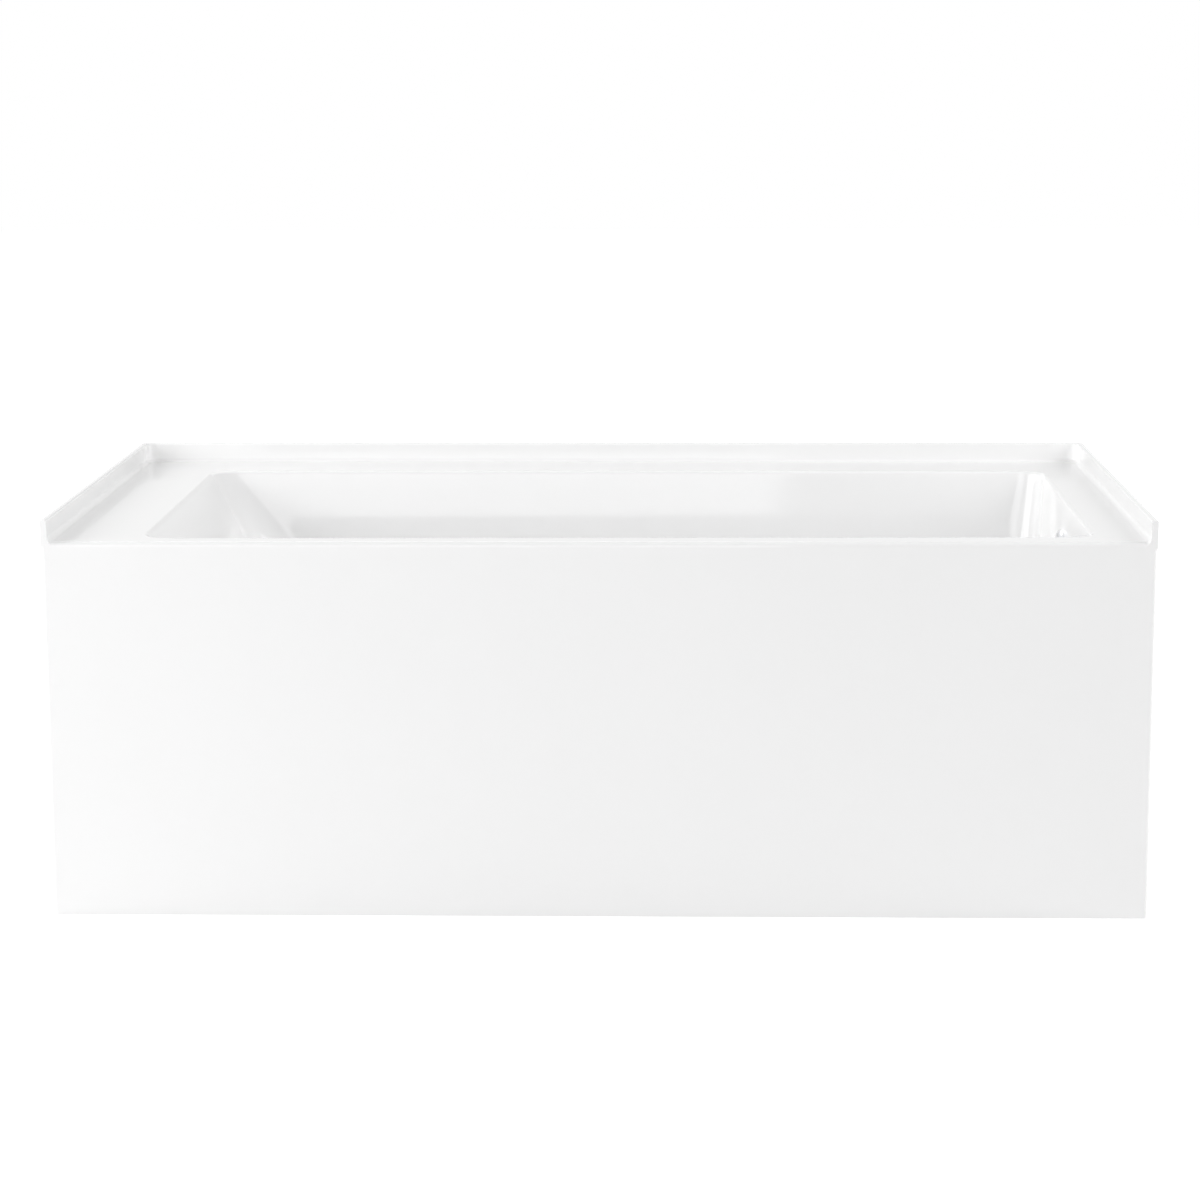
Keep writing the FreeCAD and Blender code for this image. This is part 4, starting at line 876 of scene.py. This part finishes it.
class Tree:
    """A Geometry Nodes tree under construction, with named inputs."""

    def __init__(self, name, inputs):
        self.tree = bpy.data.node_groups.new(name, "GeometryNodeTree")
        self.tree.interface.new_socket("Geometry", in_out="INPUT", socket_type="NodeSocketGeometry")
        self.identifiers = {}
        for label, kind in inputs.items():
            socket = self.tree.interface.new_socket(label, in_out="INPUT", socket_type=kind)
            self.identifiers[label] = socket.identifier
        self.tree.interface.new_socket("Geometry", in_out="OUTPUT", socket_type="NodeSocketGeometry")
        self.source = self.node("NodeGroupInput").outputs

    def node(self, kind, values=None, **settings):
        return add_node(self.tree, kind, values or {}, **settings)

    def link_all(self, sources, target):
        for source in sources:
            self.tree.links.new(source, target)

    def math(self, operation, a, b=0.0):
        return self.node("ShaderNodeMath", {0: a, 1: b}, operation=operation).outputs[0]

    def times(self, a, b):
        return self.math("MULTIPLY", a, b)

    def over(self, a, b):
        return self.math("DIVIDE", a, b)

    def plus(self, a, b):
        return self.math("ADD", a, b)

    def minus(self, a, b):
        return self.math("SUBTRACT", a, b)

    def vector(self, x=0.0, y=0.0, z=0.0):
        return self.node("ShaderNodeCombineXYZ", {0: x, 1: y, 2: z}).outputs[0]

    def lifted(self, geometry, height):
        values = {"Geometry": geometry, "Translation": self.vector(z=height)}
        return self.node("GeometryNodeTransform", values).outputs[0]

    def joined(self, *geometries):
        made = self.node("GeometryNodeJoinGeometry")
        self.link_all(geometries, made.inputs[0])
        return made.outputs[0]

    def cut(self, solid, *tools):
        made = self.node("GeometryNodeMeshBoolean", {"Mesh 1": solid}, operation="DIFFERENCE", solver="EXACT")
        self.link_all(tools, made.inputs["Mesh 2"])
        return made.outputs["Mesh"]

    def combined(self, operation, *solids):
        """The union or the intersection of solids."""
        made = self.node("GeometryNodeMeshBoolean", operation=operation, solver="EXACT")
        self.link_all(solids, made.inputs["Mesh 2"])
        return made.outputs["Mesh"]

    def cylinder(self, radius, depth, vertices):
        values = {"Radius": radius, "Depth": depth, "Vertices": vertices}
        return self.node("GeometryNodeMeshCylinder", values).outputs["Mesh"]

    def cone(self, bottom, top, depth, vertices):
        values = {"Radius Bottom": bottom, "Radius Top": top, "Depth": depth, "Vertices": vertices}
        return self.node("GeometryNodeMeshCone", values).outputs["Mesh"]

    def cube(self, x, y, z):
        return self.node("GeometryNodeMeshCube", {"Size": self.vector(x, y, z)}).outputs["Mesh"]

    def copies(self, points, shape, turn):
        values = {"Points": points, "Instance": shape, "Rotation": turn}
        return self.node("GeometryNodeInstanceOnPoints", values).outputs[0]

    def realized(self, geometry):
        return self.node("GeometryNodeRealizeInstances", {0: geometry}).outputs[0]

    def finish(self, shape, material):
        """Copies the shape to each point, with its Z along the point's axis, and ends the tree."""
        axis = self.node("GeometryNodeInputNamedAttribute", data_type="FLOAT_VECTOR")
        axis.inputs["Name"].default_value = "axis"
        turn = self.node("FunctionNodeAlignRotationToVector", {"Vector": axis.outputs["Attribute"]}, axis="Z")
        points = self.node("GeometryNodeMeshToPoints", {"Mesh": self.source["Geometry"]})
        made = self.realized(self.copies(points.outputs[0], shape, turn.outputs[0]))
        paint = self.node("GeometryNodeSetMaterial", {"Geometry": made, "Material": material})
        self.node("NodeGroupOutput", {"Geometry": paint.outputs[0]})


FLOAT, INTEGER = "NodeSocketFloat", "NodeSocketInt"


def grown(name, points, axes, tree, values):
    """The plain mesh that a tree makes from a few points, each with an axis."""
    mesh = bpy.data.meshes.new(name)
    mesh.from_pydata([tuple(p) for p in points], [], [])
    attribute = mesh.attributes.new("axis", "FLOAT_VECTOR", "POINT")
    attribute.data.foreach_set("vector", [c for axis in axes for c in axis])
    seed = linked(name, mesh)
    modifier = seed.modifiers.new(name, "NODES")
    modifier.node_group = tree.tree
    for label, value in values.items():
        modifier[tree.identifiers[label]] = value
    made = evaluated(seed)
    bpy.data.objects.remove(seed)
    if not made.polygons:
        raise RuntimeError(f"{name} came out empty")
    if "axis" in made.attributes:
        made.attributes.remove(made.attributes["axis"])
    return made


def islands(node):
    """Lowest and highest corner of each separate solid of a CAD node."""
    bm = merged(node)
    seen, boxes = set(), []
    for first in bm.verts:
        if first.index in seen:
            continue
        stack, members = [first], []
        seen.add(first.index)
        while stack:
            here = stack.pop()
            members.append(here.co)
            for edge in here.link_edges:
                other = edge.other_vert(here)
                if other.index not in seen:
                    seen.add(other.index)
                    stack.append(other)
        low = Vector([min(c[i] for c in members) for i in range(3)])
        high = Vector([max(c[i] for c in members) for i in range(3)])
        boxes.append((low, high))
    bm.free()
    return boxes


def replace_with(mesh, node, finish, angle=MADE_ANGLE):
    """Shows a made mesh in place of a CAD node."""
    name = f"{node}_made"
    mesh.name = name
    dress_piece(linked(name, mesh), node, finish, angle)


def screw_tree():
    """A pan head with a cross recess on a plain shank; the point is the head's seat."""
    tree = Tree("cross-head screw", {"Head radius": FLOAT, "Head height": FLOAT, "Shank radius": FLOAT,
                                     "Length": FLOAT, "Recess width": FLOAT, "Recess depth": FLOAT})
    get = tree.source
    radius, height, width, depth = (get[key] for key in ("Head radius", "Head height", "Recess width",
                                                         "Recess depth"))
    half_head = tree.times(height, 0.5)
    rim = tree.lifted(tree.cylinder(radius, half_head, 32), tree.times(height, 0.25))
    dome = tree.lifted(tree.cone(radius, tree.times(radius, 0.72), half_head, 32), half_head)
    bar = tree.times(radius, 1.15)
    lift = tree.plus(tree.minus(height, tree.times(depth, 0.5)), 0.00001)
    slots = [tree.lifted(tree.cube(x, y, depth), lift) for x, y in ((bar, width), (width, bar))]
    head = tree.cut(tree.joined(rim, dome), *slots)
    shank = tree.cylinder(get["Shank radius"], get["Length"], 20)
    shank = tree.lifted(shank, tree.times(get["Length"], -0.5))
    tree.finish(tree.joined(head, shank), FINISHES["zinc"])
    return tree


def nut_tree():
    """A hexagonal nut with chamfered corners and a bore; the point is its middle."""
    tree = Tree("hexagonal nut", {"Corner radius": FLOAT, "Height": FLOAT, "Bore radius": FLOAT})
    get = tree.source
    radius, height = get["Corner radius"], get["Height"]
    wide, narrow, half = tree.times(radius, 1.06), tree.times(radius, 0.87), tree.times(height, 0.5)
    upper = tree.cone(wide, narrow, half, 48)
    lower = tree.lifted(tree.cone(narrow, wide, half, 48), tree.times(half, -1.0))
    barrel = tree.combined("UNION", upper, lower)
    shaped = tree.combined("INTERSECT", tree.cylinder(radius, height, 6), barrel)
    nut = tree.cut(shaped, tree.cylinder(get["Bore radius"], tree.times(height, 2.0), 32))
    tree.finish(nut, FINISHES["zinc"])
    return tree


def stud_tree():
    """A stud with a true helical thread; the point is its lower end."""
    tree = Tree("threaded stud", {"Radius": FLOAT, "Length": FLOAT, "Pitch": FLOAT, "Depth": FLOAT,
                                  "Steps round": INTEGER, "Collar radius": FLOAT, "Collar height": FLOAT,
                                  "Collar foot": FLOAT})
    get = tree.source
    radius, length_in, pitch = get["Radius"], get["Length"], get["Pitch"]
    rows = tree.times(tree.over(length_in, pitch), 7.0)
    barrel = tree.node("GeometryNodeMeshCylinder", {"Vertices": get["Steps round"], "Side Segments": rows,
                                                    "Radius": radius, "Depth": length_in}, fill_type="NGON")
    barrel = tree.lifted(barrel.outputs["Mesh"], tree.times(length_in, 0.5))
    place = tree.node("GeometryNodeInputPosition").outputs[0]
    x, y, z = tree.node("ShaderNodeSeparateXYZ", {0: place}).outputs
    angle = tree.over(tree.math("ARCTAN2", y, x), 2 * math.pi)
    wave = tree.math("PINGPONG", tree.minus(tree.over(z, pitch), angle), 0.5)
    sunk = tree.times(tree.times(wave, 2.0), get["Depth"])
    scale = tree.over(tree.minus(radius, sunk), radius)
    moved = tree.vector(tree.times(x, scale), tree.times(y, scale), z)
    shaped = tree.node("GeometryNodeSetPosition", {"Geometry": barrel, "Position": moved}).outputs[0]
    middle = tree.plus(get["Collar foot"], tree.times(get["Collar height"], 0.5))
    collar = tree.lifted(tree.cylinder(get["Collar radius"], get["Collar height"], 6), middle)
    tree.finish(tree.joined(shaped, collar), FINISHES["zinc"])
    return tree


def ribbed_nut_tree():
    """A slip nut: a ring with grip ribs and a lip at its far end; the point is its middle."""
    tree = Tree("ribbed slip nut", {"Radius": FLOAT, "Length": FLOAT, "Bore radius": FLOAT,
                                    "Lip radius": FLOAT, "Lip": FLOAT, "Ribs": INTEGER, "Rib depth": FLOAT})
    get = tree.source
    depth, ribs = get["Rib depth"], get["Ribs"]
    body, bevel = tree.minus(get["Radius"], depth), tree.times(depth, 0.6)
    neck = tree.minus(body, bevel)
    straight = tree.minus(get["Length"], tree.times(bevel, 2.0))
    half = tree.times(straight, 0.5)
    ring = tree.cylinder(body, straight, 72)
    top = tree.lifted(tree.cone(body, neck, bevel, 72), half)
    low = tree.lifted(tree.cone(neck, body, bevel, 72), tree.minus(tree.times(half, -1.0), bevel))
    circle = tree.node("GeometryNodeMeshCircle", {"Vertices": ribs, "Radius": body}).outputs["Mesh"]
    width = tree.over(tree.times(body, 2.6), ribs)
    size = tree.vector(depth, tree.times(width, 0.5), tree.times(straight, 0.94))
    rib = tree.node("GeometryNodeTransform", {"Geometry": tree.cylinder(1.0, 1.0, 10), "Scale": size})
    place = tree.node("GeometryNodeInputPosition").outputs[0]
    turn = tree.node("FunctionNodeAlignRotationToVector", {"Vector": place}, axis="X", pivot_axis="Z")
    grips = tree.realized(tree.copies(circle, rib.outputs[0], turn.outputs[0]))
    whole = tree.combined("UNION", ring, top, low, grips)
    bore = tree.cylinder(get["Lip radius"], tree.times(get["Length"], 1.5), 48)
    thread = tree.lifted(tree.cylinder(get["Bore radius"], get["Length"], 48), tree.times(get["Lip"], -1.0))
    tree.finish(tree.cut(whole, bore, thread), FINISHES["black_fitting"])
    return tree


class BATHTUB_OT_fasteners(bpy.types.Operator):
    """Make the screws and nuts from Geometry Nodes"""
    bl_idname = "bathtub.fasteners"
    bl_label = "Screws and nuts"

    def execute(self, context):
        screw, nut = screw_tree(), nut_tree()
        self.screws("board_screws", screw, DOWN, DOWN)
        self.screws("tie_screws", screw, UP, BACK)
        self.nuts("frame_nuts", nut)
        self.nuts("lock_nuts", nut)
        solid_copy("apron_screws", "zinc")
        return {"FINISHED"}

    def screws(self, node, tree, upright, level):
        """Screws whose heads are at the end that upright names, or level where a screw lies along Y."""
        hardware = bpy.context.scene.bathtub_hardware
        seats, axes, lengths = [], [], []
        for low, high in islands(node):
            axis = Vector(upright if high.z - low.z > high.y - low.y else level)
            reach = (high - low).dot(Vector([abs(part) for part in axis]))
            seats.append((low + high) / 2 + axis * (reach / 2 - SCREW_HEAD_HEIGHT))
            axes.append(axis)
            if axis == Vector(level):
                lengths.append(reach - SCREW_HEAD_HEIGHT)
        values = {"Head radius": SCREW_HEAD_RADIUS, "Head height": SCREW_HEAD_HEIGHT,
                  "Shank radius": SCREW_SHANK_RADIUS, "Length": lengths[0],
                  "Recess width": hardware.recess_width, "Recess depth": hardware.recess_depth}
        replace_with(grown(node, seats, axes, tree, values), node, "zinc")

    def nuts(self, node, tree):
        boxes = islands(node)
        low, high = boxes[0]
        values = {"Corner radius": (high.x - low.x) / 2, "Height": high.z - low.z,
                  "Bore radius": NUT_BORE_RADIUS}
        points = [(a + b) / 2 for a, b in boxes]
        replace_with(grown(node, points, [UP] * len(points), tree, values), node, "zinc")


class BATHTUB_OT_studs(bpy.types.Operator):
    """Cut the threads of the six levelling studs"""
    bl_idname = "bathtub.studs"
    bl_label = "Levelling studs"

    def execute(self, context):
        hardware = context.scene.bathtub_hardware
        tree = stud_tree()
        for node in sorted(frame["nodes"]):
            if not node.startswith("foot_stud_"):
                continue
            low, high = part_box(node)
            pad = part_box(node.replace("stud", "pad"))[1].z
            values = {"Radius": STUD_RADIUS, "Length": high.z - low.z, "Pitch": hardware.thread_pitch,
                      "Depth": hardware.thread_depth, "Steps round": hardware.thread_steps,
                      "Collar radius": (high.x - low.x) / 2, "Collar height": COLLAR_HEIGHT,
                      "Collar foot": pad + COLLAR_GAP - low.z}
            point = Vector(((low.x + high.x) / 2, (low.y + high.y) / 2, low.z))
            replace_with(grown(node, [point], [UP], tree, values), node, "zinc", THREAD_ANGLE)
        return {"FINISHED"}


class BATHTUB_OT_waste(bpy.types.Operator):
    """Finish the waste and overflow set, with ribbed slip nuts"""
    bl_idname = "bathtub.waste"
    bl_label = "Waste and overflow"

    def execute(self, context):
        solid_copies("black_fitting", "drain_shoe", "waste_tee", "overflow_elbow")
        solid_copies("white_pipe", "waste_pipe", "tail_pipe", "overflow_tube")
        solid_copy("slip_washers", "clear_washer")
        solid_copies("black_rubber", "drain_gasket", "overflow_gasket")
        solid_copy("drain_seal", "white_foam")
        self.slip_nuts(context)
        return {"FINISHED"}

    def slip_nuts(self, context):
        """Four nuts: two along X at the level pipe and two upright on the riser."""
        hardware = context.scene.bathtub_hardware
        pipe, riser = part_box("waste_pipe"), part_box("overflow_tube")
        boxes = islands("slip_nuts")
        points, axes = [], []
        for low, high in boxes:
            middle = (low + high) / 2
            points.append(middle)
            if high.x - low.x < high.z - low.z:
                axes.append(RIGHT if middle.x < (pipe[0].x + pipe[1].x) / 2 else LEFT)
            else:
                axes.append(UP if middle.z < (riser[0].z + riser[1].z) / 2 else DOWN)
        low, high = boxes[0]
        sizes = sorted(high - low)
        values = {"Radius": sizes[1] / 2, "Length": sizes[0], "Bore radius": SLIP_BORE_RADIUS,
                  "Lip radius": SLIP_LIP_RADIUS, "Lip": SLIP_LIP, "Ribs": hardware.nut_ribs,
                  "Rib depth": hardware.rib_depth}
        made = grown("slip_nuts", points, axes, ribbed_nut_tree(), values)
        replace_with(made, "slip_nuts", "black_fitting")


class BATHTUB_OT_chrome(bpy.types.Operator):
    """Finish the chrome drain, the stopper and the overflow plate"""
    bl_idname = "bathtub.chrome"
    bl_label = "Drain, stopper and plate"

    def execute(self, context):
        solid_copy("drain_body", "polished_chrome", edge=BROKEN_CHROME)
        solid_copies("polished_chrome", "stopper_cap", "overflow_plate", "overflow_screws")
        solid_copies("brass", "stopper_cartridge", "stopper_stem")
        solid_copy("stopper_seal", "black_rubber")
        return {"FINISHED"}


# ---------------------------------------------------------------- stage

CAMERA_PLACE = (0.11871, -4.51410, 1.20757)
CAMERA_YAW, CAMERA_PITCH, CAMERA_ROLL = 0.0277973, 0.1825454, -0.0037228
FOCAL_PIXELS, FRAME_PIXELS, SENSOR = 3056.01, 1200.0, 36.0
LAMP_TARGET = Vector((0, 0, 0.3))
WHITE = (1.0, 1.0, 1.0, 1.0)


def seen_by(tree, *kinds):
    """One for the named kinds of ray, and nothing for the rest."""
    rays = add_node(tree, "ShaderNodeLightPath", {})
    seen = rays.outputs[kinds[0]]
    for kind in kinds[1:]:
        values = {0: seen, 1: rays.outputs[kind]}
        seen = add_node(tree, "ShaderNodeMath", values, operation="MAXIMUM").outputs[0]
    return seen


class BATHTUB_OT_stage(bpy.types.Operator):
    """Set the pale floor, the soft lamps, the white surroundings and the camera"""
    bl_idname = "bathtub.stage"
    bl_label = "Stage"

    def execute(self, context):
        stage = context.scene.bathtub_stage
        self.floor(stage)
        self.world(stage)
        self.lamp("front", stage.front_power, 3.0, (-1.0, -5.2, 1.6))
        self.lamp("left", stage.left_power, 2.4, (-3.6, 0.2, 2.4))
        self.lamp("low", stage.low_power, 2.4, (-3.75, -1.7, 1.25))
        self.lamp("right", stage.right_power, 2.4, (3.4, -0.6, 2.2))
        self.lamp("back", stage.back_power, 2.4, (-0.6, 3.2, 2.8))
        self.camera(context)
        context.scene.view_settings.view_transform = "Standard"
        return {"FINISHED"}

    def floor(self, stage):
        bm = bmesh.new()
        bmesh.ops.create_grid(bm, x_segments=8, y_segments=8, size=stage.floor_size / 2)
        floor = object_from("floor", bm)
        material = bpy.data.materials.new("pale floor")
        material.use_nodes = True
        tree = material.node_tree
        shader = fill(tree, tree.nodes["Principled BSDF"], {
            "Base Color": (*stage.floor_colour, 1.0), "Roughness": 0.9, "Specular IOR Level": 0.1})
        none = add_node(tree, "ShaderNodeEmission", {"Strength": 0.0})
        glow = add_node(tree, "ShaderNodeEmission", {"Strength": stage.floor_lift})
        seen = seen_by(tree, "Is Camera Ray", "Is Glossy Ray")
        choice = add_node(tree, "ShaderNodeMixShader", {"Fac": seen, 1: none.outputs[0], 2: glow.outputs[0]})
        both = add_node(tree, "ShaderNodeAddShader", {0: shader.outputs[0], 1: choice.outputs[0]})
        fill(tree, tree.nodes["Material Output"], {"Surface": both.outputs[0]})
        floor.data.materials.append(material)

    def world(self, stage):
        world = bpy.data.worlds.new("white surroundings")
        bpy.context.scene.world = world
        world.use_nodes = True
        tree = world.node_tree
        shade = fill(tree, tree.nodes["Background"], {"Color": WHITE, "Strength": stage.world_light})
        white = add_node(tree, "ShaderNodeBackground", {"Color": WHITE, "Strength": 1.0})
        seen = seen_by(tree, "Is Camera Ray", "Is Transmission Ray", "Is Glossy Ray")
        values = {"Fac": seen, 1: shade.outputs[0], 2: white.outputs[0]}
        choice = add_node(tree, "ShaderNodeMixShader", values)
        fill(tree, tree.nodes["World Output"], {"Surface": choice.outputs[0]})

    def lamp(self, name, power, size, place):
        data = bpy.data.lights.new(name, "AREA")
        data.energy = power
        data.shape = "SQUARE"
        data.size = size
        lamp = linked(name, data)
        lamp.location = place
        lamp.rotation_euler = (LAMP_TARGET - lamp.location).to_track_quat("-Z", "Y").to_euler()

    def camera(self, context):
        """The photograph's camera: place, yaw, pitch, roll and focal length in its pixels."""
        forward = Vector((-math.sin(CAMERA_YAW) * math.cos(CAMERA_PITCH),
                          math.cos(CAMERA_YAW) * math.cos(CAMERA_PITCH), -math.sin(CAMERA_PITCH)))
        right = Vector((math.cos(CAMERA_YAW), math.sin(CAMERA_YAW), 0.0))
        up = right.cross(forward)
        c, s = math.cos(CAMERA_ROLL), math.sin(CAMERA_ROLL)
        axes = (right * c + up * s, up * c - right * s, -forward)
        camera = linked("camera", bpy.data.cameras.new("camera"))
        turn = Matrix(axes).transposed().to_4x4()
        camera.matrix_world = Matrix.Translation(CAMERA_PLACE) @ turn
        camera.data.sensor_width = SENSOR
        camera.data.lens = FOCAL_PIXELS / FRAME_PIXELS * SENSOR
        camera.data.clip_end = 100.0
        context.scene.camera = camera


# ---------------------------------------------------------------- panel and registration

GROUPS = {"bathtub_basin": BathtubBasin, "bathtub_edges": BathtubEdges, "bathtub_hardware": BathtubHardware,
          "bathtub_colours": BathtubColours, "bathtub_stage": BathtubStage}
OPERATORS = (BATHTUB_OT_shell, BATHTUB_OT_laminate, BATHTUB_OT_apron, BATHTUB_OT_timber, BATHTUB_OT_frame,
             BATHTUB_OT_fasteners, BATHTUB_OT_studs, BATHTUB_OT_waste, BATHTUB_OT_chrome, BATHTUB_OT_stage)


class BATHTUB_PT_sidebar(bpy.types.Panel):
    """Lists the bathtub's pieces and settings"""
    bl_idname = "BATHTUB_PT_sidebar"
    bl_label = "Bathtub"
    bl_space_type = "VIEW_3D"
    bl_region_type = "UI"
    bl_category = "Bathtub"

    def draw(self, context):
        for operator in OPERATORS:
            self.layout.operator(operator.bl_idname)
        for name, group in GROUPS.items():
            box = self.layout.box()
            box.label(text=group.__name__)
            for key in group.__annotations__:
                box.prop(getattr(context.scene, name), key, text=key.replace("_", " ").capitalize())


def register():
    for group in GROUPS.values():
        bpy.utils.register_class(group)
    for operator in OPERATORS:
        bpy.utils.register_class(operator)
    bpy.utils.register_class(BATHTUB_PT_sidebar)
    for name, group in GROUPS.items():
        setattr(bpy.types.Scene, name, bpy.props.PointerProperty(type=group))


def unregister():
    for name in GROUPS:
        delattr(bpy.types.Scene, name)
    bpy.utils.unregister_class(BATHTUB_PT_sidebar)
    for operator in reversed(OPERATORS):
        bpy.utils.unregister_class(operator)
    for group in reversed(list(GROUPS.values())):
        bpy.utils.unregister_class(group)


def main():
    register()
    FINISHES.update(make_finishes())
    bpy.ops.bathtub.shell()
    bpy.ops.bathtub.laminate()
    bpy.ops.bathtub.apron()
    bpy.ops.bathtub.timber()
    bpy.ops.bathtub.frame()
    bpy.ops.bathtub.fasteners()
    bpy.ops.bathtub.studs()
    bpy.ops.bathtub.waste()
    bpy.ops.bathtub.chrome()
    bpy.ops.bathtub.stage()


if __name__ == "__main__":
    main()
